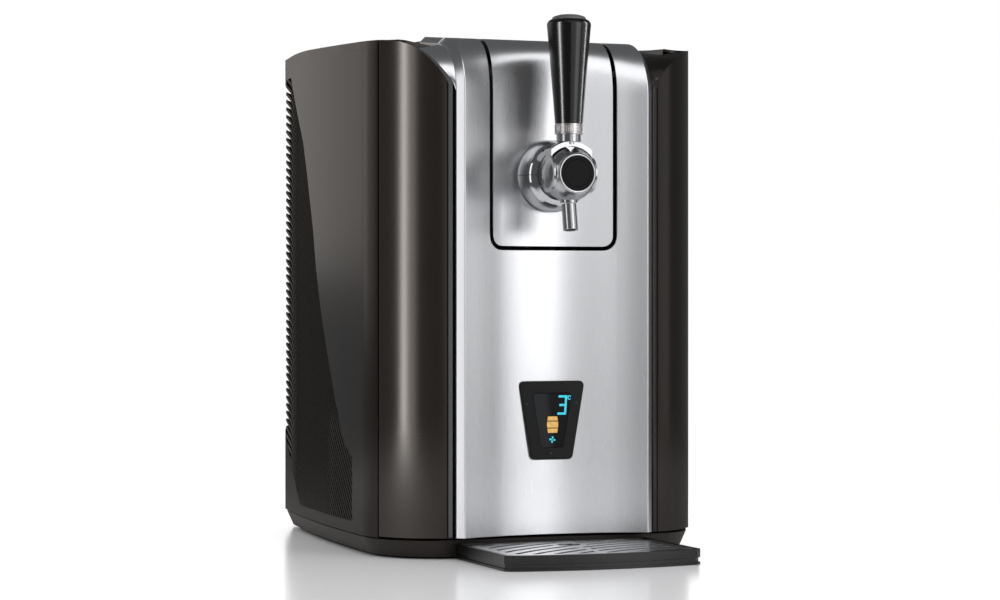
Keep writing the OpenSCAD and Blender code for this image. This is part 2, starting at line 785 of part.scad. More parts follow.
module lid_skin() color(STEEL) {
    w = lid_half_w;
    xs = spread(-w, w, 8);
    difference() {
        union() {
            intersection() {
                union() {
                    steel_sheet(xs, [for (i = [0:8]) 0], lid_z, LID_AXIS_Y, steel_t);
                    both_sides() along_x(w - steel_t, w)
                        polygon(steel_ring(w - 1, lid_z, LID_AXIS_Y, 0.05, 13));
                    // bottom flange, its front edge inside the sheet
                    translate([0, 0, lid_z]) linear_extrude(steel_t)
                        polygon(concat([for (x = xs) [x, face_y(x) + 1]],
                                       [[w, LID_BACK_Y], [-w, LID_BACK_Y]]));
                }
                u_cut(w, lid_z, LID_R);
            }
            pin_x(-w, w, 4, LID_AXIS_Y, LID_AXIS_Z);
        }
        pin_x(-w - 1, w + 1, LID_PIN_R + 0.06, LID_AXIS_Y, LID_AXIS_Z);
        pin_y(-150, -90, SHANK_R + 0.4, 0, tap_z);
    }
}

module lid_core() color(FOAM) {
    difference() {
        union() {
            box([-50, -116, lid_z + 4], [50, LID_BACK_Y, 420]);
            box([-50, -100, 420 - EPS], [50, LID_BACK_Y + 6, 434]);
            box([-50, LID_BACK_Y, 431], [50, -56, 438]);
        }
        pin_y(-150, -80, SHANK_R + 0.3, 0, tap_z);
    }
}

// ---- tap --------------------------------------------------------------------------------

FLANGE_R = 31;
FLANGE_Y = face_y(31);

// A turned shape about the tap's axis; points are (radius, distance forward of y0).
module turned(y0, points) {
    translate([0, y0, tap_z]) rotate([90, 0, 0]) rotate_extrude($fn = 96) polygon(points);
}

module tap_flange() color(CHROME)
    turned(FLANGE_Y, concat(
        [[SHANK_R + 0.1, 0], [FLANGE_R, 0], [FLANGE_R, 2.5]],
        [for (i = [1:6]) let (t = 90 * i / 7)
            [21.6 + (FLANGE_R - 21.6) * cos(t), 2.5 + 17 * sin(t)]],
        [[21.6, 20.5], [SHANK_R + 0.1, 20.5]]));

BARREL_R = 20;
BOSS_R = 15.5;
SOCKET_H = 24;
BOSS_X = 19.5;
SLOT_X = 4.2;
BALL_FRONT_Y = badge_y + 2.5;

BALL_A = asin((pivot_y - BALL_FRONT_Y) / ball_r);   // where the ball is cut off in front
BALL_B = asin(BARREL_R / ball_r);                   // and where it meets the barrel

module tap_body() color(CHROME) {
    back = -91 - pivot_y;
    neck = FLANGE_Y - 20.6 - pivot_y;
    difference() {
        union() {
            turned(pivot_y, concat(
                [[0, -back], [SHANK_R, -back], [SHANK_R, -neck], [BARREL_R, -neck]],
                [for (i = [0:12]) let (t = BALL_B + (90 + BALL_A - BALL_B) * i / 12)
                    [ball_r * sin(t < 90 ? t : 180 - t), -ball_r * cos(t)]],
                [[0, pivot_y - BALL_FRONT_Y]]));
            pin_x(-BOSS_X, BOSS_X, BOSS_R, pivot_y, tap_z, 64);
            // socket for the spout
            pin_z(tap_z - SOCKET_H, tap_z - 15, 7.6, 0, pivot_y);
        }
        // pivot bore
        pin_x(-BOSS_X - 1, BOSS_X + 1, PIVOT_R, pivot_y, tap_z);
        // slot for the lever's stem
        translate([0, pivot_y, tap_z]) along_x(-SLOT_X, SLOT_X)
            polygon([[4.5, -1], [8.7, 40], [-10, 42], [-24, 34], [-3.9, -2.2]]);
        pin_x(-SLOT_X, SLOT_X, 8, pivot_y, tap_z);
        // pinch chamber and the way for the beer tube
        box([-SLOT_X, pivot_y - 9.5, tap_z - 16.5], [SLOT_X, pivot_y + 6.5, tap_z - 6]);
        pin_z(tap_z - 40, tap_z - 10, SPOUT_BORE_R - 0.4, 0, pivot_y + 1);
        pin_y(pivot_y + 3, -80, 3.6, 0, tap_z - 7.5);
    }
}

SPOUT_BORE_R = 4.2;
SPOUT_LEN = 23.5;

module spout() color(CHROME) {
    translate([0, pivot_y, tap_z - SOCKET_H]) rotate([-spout_lean, 0, 0]) difference() {
        union() {
            translate([0, 0, -SPOUT_LEN]) cylinder(h = SPOUT_LEN - 1.4, r = spout_r, $fn = 64);
        }
        translate([0, 0, -SPOUT_LEN - 1]) cylinder(h = SPOUT_LEN + 2, r = SPOUT_BORE_R, $fn = 64);
    }
}

module tap_nut() color(CHROME) {
    difference() {
        pin_y(LID_BACK_Y, LID_BACK_Y + 4.5, 19, 0, tap_z, 6);
        pin_y(-120, -80, SHANK_R + 0.05, 0, tap_z, 64);
    }
}

module badge_ring() color(ALUMINIUM)
    turned(BALL_FRONT_Y, [[badge_r + 0.1, 0], [16.4, 0], [17.5, 0.6], [17.2, 2.0], [15.6, 2.9],
                          [badge_r + 0.1, 2.6]]);

module tap_badge() color(BLACK)
    turned(BALL_FRONT_Y, [[0, 0], [badge_r, 0], [badge_r, 2.2], [badge_r - 1, 2.5], [0, 2.5]]);

PIVOT_R = 2.5;

module pivot_pin() color(CHROME) pin_x(-BOSS_X + 2, BOSS_X - 2, PIVOT_R, pivot_y, tap_z);

module pinch_anvil() color(DARK)
    box([-SLOT_X + 0.1, pivot_y + 4.6, tap_z - 16.3], [SLOT_X - 0.1, pivot_y + 6.5, tap_z - 9.5]);

module pinch_bar() color(ALUMINIUM) {
    box([-SLOT_X + 0.4, pivot_y - 6, tap_z - 15.8], [SLOT_X - 0.4, pivot_y + 1.6, tap_z - 8.5]);
}

// ---- lever and handle -------------------------------------------------------------------

SADDLE_R = [24.2, 28];
NECK_R = 10.5;
FERRULE_R = 12.2;
FERRULE_Z = 358;

module lever_saddle() color(CHROME) {
    difference() {
        union() {
            intersection() {
                difference() {
                    translate([0, pivot_y, tap_z]) sphere(r = SADDLE_R[1], $fn = 96);
                    translate([0, pivot_y, tap_z]) sphere(r = SADDLE_R[0], $fn = 96);
                }
                box([-18.5, pivot_y - 6, tap_z], [18.5, pivot_y + 6.5, BIG]);
            }
            pin_x(-SLOT_X + 0.3, SLOT_X - 0.3, 7.4, pivot_y, tap_z);
            box([-SLOT_X + 0.5, pivot_y - 2.6, tap_z + 4],
                [SLOT_X - 0.5, pivot_y + 2.6, tap_z + SADDLE_R[0] + 2]);
            pin_z(tap_z + SADDLE_R[1] - 3, FERRULE_Z, NECK_R - 4, 0, pivot_y);
            pin_z(tap_z + SADDLE_R[1] - 0.8, FERRULE_Z, NECK_R, 0, pivot_y);
        }
        pin_x(-30, 30, PIVOT_R + 0.05, pivot_y, tap_z);
    }
}

// A turned shape about the handle's axis; points are (radius, height).
module handle_turned(points) {
    translate([0, pivot_y, 0]) rotate_extrude($fn = 96) polygon(points);
}

module handle_ferrule() color([0.75, 0.72, 0.68])
    handle_turned([[0, FERRULE_Z], [FERRULE_R - 0.6, FERRULE_Z], [FERRULE_R, FERRULE_Z + 0.6],
                   [FERRULE_R, grip_z - 0.6], [FERRULE_R - 0.6, grip_z], [0, grip_z]]);

GRIP_R = [11.8, 18.6];
GRIP_TOP_Z = 451;

module handle_grip() color(BLACK)
    handle_turned(concat(
        [[0, grip_z]],
        [for (i = [0:8]) let (u = i / 8)
            [GRIP_R[0] + (GRIP_R[1] - GRIP_R[0]) * (0.9 * u + 0.1 * u * u),
             grip_z + (GRIP_TOP_Z - 1 - grip_z) * u]],
        [[GRIP_R[1] - 0.2, GRIP_TOP_Z + 0.4], [GRIP_R[1] - 1.6, GRIP_TOP_Z + 2],
         [14.8, GRIP_TOP_Z + 3.6], [14.5, GRIP_TOP_Z + 1.5], [0, GRIP_TOP_Z + 1.5]]));

module handle_cap() color([0.35, 0.34, 0.34])
    handle_turned([[0, GRIP_TOP_Z + 1.5], [14.4, GRIP_TOP_Z + 1.5], [14.4, GRIP_TOP_Z + 4.2],
                   [12.6, GRIP_TOP_Z + 6.2], [8.5, GRIP_TOP_Z + 7.5], [0, handle_top_z]]);

// ---- drip tray --------------------------------------------------------------------------

TRAY_REAR_Y = -126;
TRAY_WALL = 3.5;

// Plan of the tray, drawn in by d: straight sides and a bowed front.
function tray_points(d) =
    let (w = tray_half_w - d, fy = tray_front_y + d, cut = 5)
    concat(
        [[w, TRAY_REAR_Y - d], [w, fy + tray_bow + cut]],
        [for (i = [0:10]) let (u = 1 - i / 5, x = u * (w - cut))
            [x, fy + tray_bow * u * u]],
        [[-w, fy + tray_bow + cut], [-w, TRAY_REAR_Y - d]]);

module drip_tray() color(BLACK) {
    difference() {
        union() {
            linear_extrude(tray_h) polygon(tray_points(0));
        }
        translate([0, 0, 2]) linear_extrude(tray_h) polygon(tray_points(TRAY_WALL));
        // undercut below the rim
        difference() {
            translate([0, 0, 2.2]) linear_extrude(3.6) polygon(tray_points(-1));
            translate([0, 0, 2]) linear_extrude(4) polygon(tray_points(1.2));
        }
    }
    // ledge that carries the grid
    difference() {
        translate([0, 0, 2 - EPS]) linear_extrude(tray_h - 5) polygon(tray_points(TRAY_WALL - EPS));
        translate([0, 0, 1]) linear_extrude(tray_h) polygon(tray_points(TRAY_WALL + 3));
    }
}

GRID_GAP = 0.5;
GRID_T = 1.6;
DRAIN_Y = -164;

module drip_grid() color(STEEL) {
    z0 = tray_h - 3 + 0.02;
    difference() {
        intersection() {
            translate([0, 0, z0]) linear_extrude(GRID_T + 1)
                polygon(tray_points(TRAY_WALL + GRID_GAP));
            // rear edge runs along the hollow of the steel front
            pin_z(0, 30, FACE_R - 2.5, 0, FACE_MID_Y - FACE_R, 128);
        }
        translate([0, 0, z0 - 1]) linear_extrude(2)
            polygon(tray_points(TRAY_WALL + GRID_GAP + 2));
        // curved slots that sweep across the plate
        intersection() {
            translate([0, 0, z0 - 1]) linear_extrude(6) polygon(tray_points(TRAY_WALL + 9));
            difference() {
                union() for (i = [0:11]) difference() {
                    pin_z(0, 20, 186 + i * 14.5 + 5, 125, -420, 160);
                    pin_z(-1, 21, 186 + i * 14.5, 125, -420, 160);
                }
                pin_z(-1, 21, 15, 0, DRAIN_Y);
                box([-3, -BIG, 0], [3, BIG, 30]);
            }
        }
        pin_z(0, 30, 10, 0, DRAIN_Y);
    }
}

base_plinth();
rubber_feet();
left_side_panel();
right_side_panel();
left_vent_louvres();
right_vent_louvres();
top_cover();
left_top_trim();
right_top_trim();
rear_panel();
rear_grille();
case_screws();
front_frame();
hinge_brackets();
hinge_pins();
latch_strike();
chamber_liner();
chamber_insulation();
keg_stand();
air_coupler();
air_pump();
air_hose();
thermoelectric_module();
cold_sink();
cold_fan_frame();
cold_fan_rotor();
hot_sink();
hot_fan_frame();
hot_fan_rotor();
power_supply();
control_board();
mains_inlet();
lid_hinge_pin();
door_skin();
left_door_cheek();
right_door_cheek();
door_core();
door_liner();
door_gasket();
door_latch();
display_bezel();
display_screen();
display_board();
lid_skin();
lid_core();
tap_flange();
tap_body();
tap_nut();
badge_ring();
tap_badge();
spout();
pinch_anvil();
pivot_pin();
lever_saddle();
handle_ferrule();
handle_grip();
handle_cap();
pinch_bar();
drip_tray();
drip_grid();
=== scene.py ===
"""Looks of a mini keg beer dispenser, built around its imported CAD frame.

Lengths in the geometry code are millimetres in the frame's axes (front towards -Y, +Z up);
Builder turns them into metres. Materials, lamps and the camera are in metres.
"""

import logging
import math
from contextlib import contextmanager
from dataclasses import dataclass, field
from enum import Enum
from typing import Callable, Iterable, Iterator, Sequence

import bmesh
import bpy
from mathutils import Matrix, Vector


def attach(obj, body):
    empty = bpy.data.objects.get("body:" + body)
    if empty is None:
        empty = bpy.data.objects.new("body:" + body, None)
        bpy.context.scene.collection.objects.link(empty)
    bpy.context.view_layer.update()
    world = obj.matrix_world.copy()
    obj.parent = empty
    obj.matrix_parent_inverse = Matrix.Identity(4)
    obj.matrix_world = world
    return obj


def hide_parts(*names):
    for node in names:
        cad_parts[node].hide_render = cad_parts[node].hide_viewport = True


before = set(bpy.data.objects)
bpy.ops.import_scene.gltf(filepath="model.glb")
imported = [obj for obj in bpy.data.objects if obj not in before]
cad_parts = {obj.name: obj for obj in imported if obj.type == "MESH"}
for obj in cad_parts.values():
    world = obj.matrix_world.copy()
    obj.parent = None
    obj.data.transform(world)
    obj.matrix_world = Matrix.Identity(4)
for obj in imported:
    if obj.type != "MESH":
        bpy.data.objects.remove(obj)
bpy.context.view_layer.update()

LOG = logging.getLogger("dispenser")
MM = 0.001
Point = tuple[float, float, float]
Flat = tuple[float, float]
ONE: Point = (1.0, 1.0, 1.0)
STILL: Point = (0.0, 0.0, 0.0)
AHEAD: Point = (0.0, -1.0, 0.0)


class Body(str, Enum):
    """The rigid bodies of the frame that pieces ride on."""

    CABINET = "cabinet"
    DOOR = "door"
    LID = "tap_lid"
    LEVER = "tap_lever"
    TRAY = "drip_tray"
    GRID = "drip_grid"


class Side(int, Enum):
    """The two sides, with the sign of their x."""

    LEFT = -1
    RIGHT = 1

    @property
    def label(self) -> str:
        """Returns: the side's word in the names of pieces."""
        return self.name.lower()


class Axis(Enum):
    """The axis that a shape is run along or turned about."""

    ACROSS = "x"
    FORWARD = "y"
    UP = "z"


# ---- node trees -------------------------------------------------------------------------


class Sock:
    """An output socket that takes part in Python expressions."""

    def __init__(self, nodes: "Nodes", socket: bpy.types.NodeSocket) -> None:
        """Args: nodes, the tree that the socket is in, and the socket."""
        self.nodes = nodes
        self.socket = socket

    def worked(self, kind: str, *values: "Sock | float", clamp: bool = False) -> "Sock":
        """Adds a Math node.

        Args:
            kind: its operation.
            values: its inputs, in order.
            clamp: whether its result is held between 0 and 1.
        Returns:
            its result.
        """
        return self.nodes.node("ShaderNodeMath", {"operation": kind, "use_clamp": clamp},
                               dict(enumerate(values)))

    def __add__(self, other: "Sock | float") -> "Sock":
        """Returns: self + other."""
        return self.worked("ADD", self, other)

    def __radd__(self, other: float) -> "Sock":
        """Returns: other + self."""
        return self.worked("ADD", other, self)

    def __sub__(self, other: "Sock | float") -> "Sock":
        """Returns: self - other."""
        return self.worked("SUBTRACT", self, other)

    def __rsub__(self, other: float) -> "Sock":
        """Returns: other - self."""
        return self.worked("SUBTRACT", other, self)

    def __mul__(self, other: "Sock | float") -> "Sock":
        """Returns: self * other."""
        return self.worked("MULTIPLY", self, other)

    def __rmul__(self, other: float) -> "Sock":
        """Returns: other * self."""
        return self.worked("MULTIPLY", other, self)

    def __pow__(self, other: "Sock | float") -> "Sock":
        """Returns: self ** other."""
        return self.worked("POWER", self, other)

    def clamp(self) -> "Sock":
        """Returns: the value held between 0 and 1."""
        return self.worked("ADD", self, 0.0, clamp=True)

    def smooth(self, low: float, high: float) -> "Sock":
        """Args: low and high, where a soft step is 0 and 1. Returns: the step's value."""
        return self.nodes.node("ShaderNodeMapRange", {"interpolation_type": "SMOOTHSTEP"},
                               {0: self, 1: low, 2: high, 3: 0.0, 4: 1.0})


class Nodes:
    """A node tree that one method fills."""

    def __init__(self, tree: bpy.types.NodeTree) -> None:
        """Args: tree, which is emptied."""
        self.tree = tree
        tree.nodes.clear()

    def make(self, kind: str, settings: dict | None = None,
             values: dict | None = None) -> bpy.types.Node:
        """Makes a node.

        Args:
            kind: the node's type.
            settings: its properties, set first.
            values: socket name or index to a number, tuple or Sock.
        Returns:
            the node.
        """
        made = self.tree.nodes.new(kind)
        for key, value in (settings or {}).items():
            setattr(made, key, value)
        for key, value in (values or {}).items():
            self.put(made.inputs[key], value)
        return made

    def node(self, kind: str, settings: dict | None = None, values: dict | None = None,
             output: int | str = 0) -> Sock:
        """Args: as for make, and the output to return. Returns: that output."""
        return Sock(self, self.make(kind, settings, values).outputs[output])

    def put(self, socket: bpy.types.NodeSocket, value: "Sock | float | tuple") -> None:
        """Sets or links an input.

        Args:
            socket: the input.
            value: what it gets.
        """
        if isinstance(value, Sock):
            self.tree.links.new(value.socket, socket)
        else:
            socket.default_value = value


class Shader(Nodes):
    """The node tree of one material, with a Principled surface to start from."""

    def __init__(self, name: str) -> None:
        """Makes the material and its surface.

        Args:
            name: the material's name.
        """
        self.material = bpy.data.materials.new(name)
        self.material.use_nodes = True
        super().__init__(self.material.node_tree)
        self.surface = self.make("ShaderNodeBsdfPrincipled")
        self.make("ShaderNodeOutputMaterial", None,
                  {"Surface": Sock(self, self.surface.outputs[0])})

    def set(self, **values: "Sock | float | tuple") -> None:
        """Sets inputs of the Principled surface; underscores stand for spaces.

        Args:
            values: input name to value.
        """
        for key, value in values.items():
            self.put(self.surface.inputs[key.replace("_", " ")], value)

    def place(self, x: float = 1.0, y: float = 1.0, z: float = 1.0) -> Sock:
        """Args: a factor for each axis. Returns: object coordinates stretched by them."""
        where = self.node("ShaderNodeTexCoord", output="Object")
        return self.node("ShaderNodeVectorMath", {"operation": "MULTIPLY"},
                         {0: where, 1: (x, y, z)})

    def axes(self) -> tuple[Sock, Sock, Sock]:
        """Returns: X, Y and Z of the object coordinates, in metres."""
        where = self.node("ShaderNodeTexCoord", output="Object")
        split = self.make("ShaderNodeSeparateXYZ", None, {0: where})
        return tuple(Sock(self, o) for o in split.outputs)

    def noise(self, where: Sock, scale: float, detail: float = 3.0,
              rough: float = 0.55) -> Sock:
        """Args: where it is read, scale, detail, roughness. Returns: noise around 0.5."""
        return self.node("ShaderNodeTexNoise", {"noise_dimensions": "3D"},
                         {"Vector": where, "Scale": scale, "Detail": detail,
                          "Roughness": rough})

    def blend(self, factor: "Sock | float", a: Point, b: Point) -> Sock:
        """Args: factor from a to b, colours a and b. Returns: the mixed colour."""
        return self.node("ShaderNodeMix", {"data_type": "RGBA", "clamp_factor": True},
                         {0: factor, 6: (*a, 1.0), 7: (*b, 1.0)}, output=2)

    def bump(self, height: Sock, distance: float, strength: float) -> None:
        """Args: height field, its distance in metres and its strength."""
        self.set(Normal=self.node("ShaderNodeBump", None, {"Height": height,
                                                           "Distance": distance,
                                                           "Strength": strength}))


# ---- finishes ---------------------------------------------------------------------------


@dataclass(frozen=True)
class Finish:
    """A procedural surface finish, and the record's slot that it belongs to, which is not used.
    """

    name: str
    slot: str = ""

    def paint(self, s: Shader) -> None:
        """Each kind of finish fills in the shader s in its own way."""

    def material(self) -> bpy.types.Material:
        """Makes the finish's material, once.

        Returns:
            the material.
        """
        name = f"look_{self.name}"
        known = bpy.data.materials.get(name)
        if known:
            return known
        shader = Shader(name)
        self.paint(shader)
        return shader.material


@dataclass(frozen=True)
class Moulded(Finish):
    """Moulded or painted plastic with a fine grain."""

    dark: Point = (0.02, 0.02, 0.02)
    light: Point = (0.03, 0.03, 0.03)
    rough: float = 0.4
    grain: float = 0.05
    grain_scale: float = 2600.0
    depth: float = 0.00002
    specular: float = 0.5
    tint: tuple = (1.0, 1.0, 1.0, 1.0)
    worn: float = 0.0
    # how much rougher the finish gets low down
    worn_z: Flat = (0.015, 0.13)

    def paint(self, s: Shader) -> None:
        """Fills in the nodes.

        Args:
            s: the shader.
        """
        where = s.place()
        grain = s.noise(where, self.grain_scale, 2.0)
        cloud = s.noise(where, 9.0, 2.0)
        rough = self.rough + (grain - 0.5) * self.grain * 2.0
        if self.worn:
            rough = rough + (1.0 - s.axes()[2].smooth(*self.worn_z)) * self.worn
        s.set(Base_Color=s.blend(cloud.smooth(0.3, 0.7), self.dark, self.light),
              Roughness=rough, Specular_IOR_Level=self.specular, Specular_Tint=self.tint)
        if self.depth:
            s.bump(grain, self.depth, 0.5)


@dataclass(frozen=True)
class Louvre(Finish):
    """The louvres' plastic, with a painted highlight: lighter at the rear corner and low at the
    front.
    """

    plain: Point = (0.0110, 0.0088, 0.0072)
    # painted highlight colour of the slats
    worn: Point = (0.110, 0.100, 0.090)
    rear_y: Flat = (0.165, 0.205)
    front_y: float = 0.052
    front_z: float = 0.130
    fade: float = 0.03

    def paint(self, s: Shader) -> None:
        """Fills in the nodes.

        Args:
            s: the shader.
        """
        _, y, z = s.axes()
        # painted highlight: the slats turn lighter towards the rear corner and low at the front
        low = (self.front_y - y).smooth(0.0, self.fade) * (self.front_z - z).smooth(0.0,
                                                                                    self.fade)
        lit = (y.smooth(*self.rear_y) + low * 0.3).clamp()
        s.set(Base_Color=s.blend(lit, self.plain, self.worn),
              Roughness=0.6 + 0.04 * (s.noise(s.place(), 900.0, 2.0) - 0.5),
              Specular_IOR_Level=0.08)


@dataclass(frozen=True)
class Metal(Finish):
    """Metal, plain, satin or brushed along one axis."""

    dark: Point = (0.6, 0.6, 0.6)
    light: Point = (0.7, 0.7, 0.7)
    rough: float = 0.2
    spread: float = 0.08
    stretch: Point = ONE
    scale: float = 900.0
    depth: float = 0.000004

    def paint(self, s: Shader) -> None:
        """Fills in the nodes.

        Args:
            s: the shader.
        """
        streak = s.noise(s.place(*self.stretch), self.scale, 4.0, 0.6)
        cloud = s.noise(s.place(), 7.0, 2.0)
        s.set(Base_Color=s.blend(streak.smooth(0.25, 0.75) * 0.7 + cloud * 0.3,
                                 self.dark, self.light),
              Metallic=1.0,
              Roughness=self.rough + (streak - 0.5) * self.spread * 2.0)
        s.bump(streak, self.depth, 0.4)


@dataclass(frozen=True)
class Lit(Finish):
    """A lit symbol, in places a little dimmer."""

    colour: Point = (0.0, 0.7, 0.8)
    strength: float = 1.0

    def paint(self, s: Shader) -> None:
        """Fills in the nodes.

        Args:
            s: the shader.
        """
        glow = s.noise(s.place(), 300.0, 1.0)
        dim = tuple(c * 0.8 for c in self.colour)
        s.set(Base_Color=(0.01, 0.01, 0.01, 1.0), Roughness=0.4,
              Emission_Color=s.blend(glow.smooth(0.3, 0.7), dim, self.colour),
              Emission_Strength=self.strength)


@dataclass(frozen=True)
class Glass(Finish):
    """Dark display glass with a painted reflection: lighter on one side of a slanted line."""

    grey: Point = (0.021, 0.024, 0.027)
    black: Point = (0.0012, 0.0012, 0.0015)

    def paint(self, s: Shader) -> None:
        """Fills in the nodes.

        Args:
            s: the shader.
        """
        x, _, z = s.axes()
        # painted reflection: the left of a steep slanted line is lighter, the right black
        side = (x + (z - 0.115) * 0.1).smooth(-0.006, 0.002)
        s.set(Base_Color=s.blend(side, self.grey, self.black),
              Roughness=0.10 + 0.02 * s.noise(s.place(), 60.0, 1.0),
              Specular_IOR_Level=0.06)


@dataclass(frozen=True)
class FloorFinish(Finish):
    """Pale glossy floor that ends in the white round it."""

    middle_y: float = -0.08
    fade: Flat = (0.42, 0.80)

    def paint(self, s: Shader) -> None:
        """Fills in the nodes.

        Args:
            s: the shader.
        """
        cloud = s.noise(s.place(), 0.7, 2.0)
        x, y, _ = s.axes()
        y = y - self.middle_y
        far = (x * x + y * y) ** 0.5
        s.set(Base_Color=s.blend(cloud, (0.80, 0.80, 0.815), (0.83, 0.83, 0.84)),
              Roughness=0.20 + 0.02 * cloud, Specular_IOR_Level=0.5,
              Alpha=1.0 - far.smooth(*self.fade))


BROWN = Moulded("brown_casing", "brown_casing", (0.0115, 0.0088, 0.0070),
                (0.0130, 0.0100, 0.0080), rough=0.22, grain=0.003, grain_scale=900.0, depth=0.0,
                specular=0.42, tint=(1.0, 0.94, 0.89, 1.0), worn=0.4)
# painted shade: the near-black plate behind the louvres
BROWN_DARK = Moulded("brown_shadow", "brown_casing", (0.004, 0.0035, 0.003),
                     (0.006, 0.005, 0.0045), rough=0.5, grain=0.04, depth=0.00001, specular=0.2)
BROWN_VENT = Louvre("brown_louvre", "brown_casing")
# painted highlight: light grey for the left cheek's rim strip
RIM_HIGHLIGHT = Moulded("cheek_rim", "brown_casing", (0.085, 0.083, 0.086), (0.095, 0.093, 0.096),
              grain=0.03, depth=0.000002)
BEZEL = Moulded("display_black", "black_gloss", (0.0040, 0.0036, 0.0034),
                (0.0055, 0.0050, 0.0048), rough=0.3, grain=0.03, grain_scale=1800.0,
                depth=0.000001, specular=0.16)
BADGE = Moulded("badge_black", "black_gloss", (0.0030, 0.0030, 0.0036),
                (0.0042, 0.0042, 0.0050), rough=0.12, grain=0.02, grain_scale=1200.0,
                depth=0.0, specular=0.06)
GLOSS = Moulded("black_gloss", "black_gloss", (0.0020, 0.0017, 0.0017),
                (0.0030, 0.0026, 0.0025), rough=0.2, grain=0.02, grain_scale=1200.0, depth=0.0)
CAP = Moulded("handle_end", "handle_end", (0.20, 0.20, 0.20), (0.25, 0.25, 0.25), rough=0.30,
              grain_scale=2400.0, depth=0.00001)
BLACK = Moulded("black_plastic", "black_plastic", (0.0050, 0.0047, 0.0045),
                (0.0065, 0.0062, 0.0060), rough=0.34, grain=0.06, grain_scale=2400.0,
                specular=0.4)
WHITE = Moulded("white_plastic", "white_plastic", (0.72, 0.72, 0.70), (0.76, 0.76, 0.74),
                rough=0.42, grain_scale=2200.0)
FOAM = Moulded("foam", "foam", (0.62, 0.60, 0.52), (0.68, 0.66, 0.58), rough=0.85, grain=0.08,
               grain_scale=900.0, depth=0.0004)
# painted shade: near-black cores so that the gaps round the steel look dark
FOAM_SHADE = Moulded("foam_facing", "foam", (0.010, 0.010, 0.010), (0.014, 0.014, 0.013),
                    rough=0.75, grain=0.08, grain_scale=900.0, depth=0.0002)
RUBBER = Moulded("rubber", "rubber", (0.018, 0.018, 0.018), (0.024, 0.024, 0.024), rough=0.7,
                 grain=0.1, grain_scale=1800.0, depth=0.00003)
BOARD = Moulded("circuit_board", "board", (0.015, 0.09, 0.04), (0.02, 0.12, 0.05), rough=0.45,
                grain_scale=700.0, depth=0.00003)
HOSE = Moulded("hose", "hose", (0.55, 0.58, 0.60), (0.62, 0.65, 0.67), rough=0.3, grain=0.04,
               grain_scale=900.0, depth=0.0)
AMBER_DARK = Moulded("amber_band", "screen", (0.10, 0.05, 0.01), (0.12, 0.06, 0.012))
MARK = Moulded("touch_mark", "black_gloss", (0.020, 0.020, 0.020), (0.026, 0.026, 0.026),
               rough=0.3)
STEEL = Metal("brushed_steel", "steel_front", (0.60, 0.605, 0.62), (0.63, 0.635, 0.65),
              rough=0.28, spread=0.02, stretch=(1.0, 1.0, 0.02), scale=1500.0, depth=0.0000008)
CHROME = Metal("chrome_plate", "chrome", (0.47, 0.48, 0.49), (0.52, 0.53, 0.54), rough=0.07,
               spread=0.03, scale=120.0, depth=0.000001)
SATIN = Metal("satin_nickel", "chrome", (0.42, 0.42, 0.43), (0.47, 0.47, 0.48), rough=0.22,
              spread=0.05, scale=1800.0, depth=0.000002)
COLLAR = Metal("plated_collar", "plated_collar", (0.64, 0.62, 0.61), (0.76, 0.74, 0.73),
               rough=0.28, spread=0.05, scale=1500.0, depth=0.000002)
ALUMINIUM = Metal("aluminium", "aluminium", (0.52, 0.53, 0.54), (0.62, 0.63, 0.64), rough=0.34,
                  stretch=(0.05, 1.0, 1.0), scale=1200.0)
SCREEN = Glass("screen_glass", "screen")
CYAN = Lit("lit_cyan", "screen", (0.02, 0.62, 0.78), 1.15)
AMBER = Lit("lit_amber", "screen", (0.85, 0.50, 0.12), 0.95)

# the CAD nodes that are shown in their own shape
CARRIED_OVER: dict[Finish, str] = {
    RUBBER: "rubber_feet door_gasket",
    BLACK: "front_frame keg_stand air_coupler air_pump cold_fan_frame cold_fan_rotor "
           "hot_fan_frame hot_fan_rotor mains_inlet door_latch pinch_anvil",
    ALUMINIUM: "hinge_brackets latch_strike cold_sink hot_sink power_supply pinch_bar",
    CHROME: "hinge_pins lid_hinge_pin tap_nut pivot_pin case_screws",
    WHITE: "chamber_liner thermoelectric_module door_liner",
    FOAM: "chamber_insulation",
    # painted shade on the door and lid cores
    FOAM_SHADE: "door_core lid_core",
    HOSE: "air_hose",
    BOARD: "control_board display_board",
}


# ---- meshes -----------------------------------------------------------------------------


def ramp(value: float, start: float, end: float) -> float:
    """Returns: 0 before start, 1 beyond end, and straight between them."""
    return min(max((value - start) / (end - start), 0.0), 1.0)


def eased(t: float) -> float:
    """Returns: t, from 0 to 1, with soft ends."""
    return t * t * (3 - 2 * t)


def circle(x: float, y: float, r: float, steps: int) -> list[Flat]:
    """Returns: the points of a circle of radius r about (x, y)."""
    turns = [2 * math.pi * k / steps for k in range(steps)]
    return [(x + r * math.cos(t), y + r * math.sin(t)) for t in turns]


def rectangle(x: float, y: float, half_x: float, half_y: float) -> list[Flat]:
    """Returns: the corners of a rectangle of those half sizes about (x, y)."""
    return [(x - half_x, y - half_y), (x + half_x, y - half_y), (x + half_x, y + half_y),
            (x - half_x, y + half_y)]


def window(top: Flat, bottom: Flat, r: float, steps: int = 8) -> list[Flat]:
    """The display's outline, narrower at the bottom, with rounded corners.

    Args:
        top: half width and height of the top edge.
        bottom: half width and height of the bottom edge.
        r: corner radius.
        steps: points per corner.
    Returns:
        the outline in (x, z).
    """
    corners = [Vector(c) for c in (top, bottom, (-bottom[0], bottom[1]), (-top[0], top[1]))]
    out: list[Flat] = []
    for i, here in enumerate(corners):
        a = (corners[i - 1] - here).normalized()
        b = (corners[(i + 1) % 4] - here).normalized()
        reach = r / math.tan(a.angle(b) / 2)
        for k in range(steps + 1):
            u = k / steps
            out.append(tuple(here + a * reach * (1 - u) ** 2 + b * reach * u ** 2))
    return out


def linked(name: str, data: bpy.types.ID) -> bpy.types.Object:
    """Returns: a new object of that name and data, in the scene."""
    obj = bpy.data.objects.new(name, data)
    bpy.context.scene.collection.objects.link(obj)
    return obj


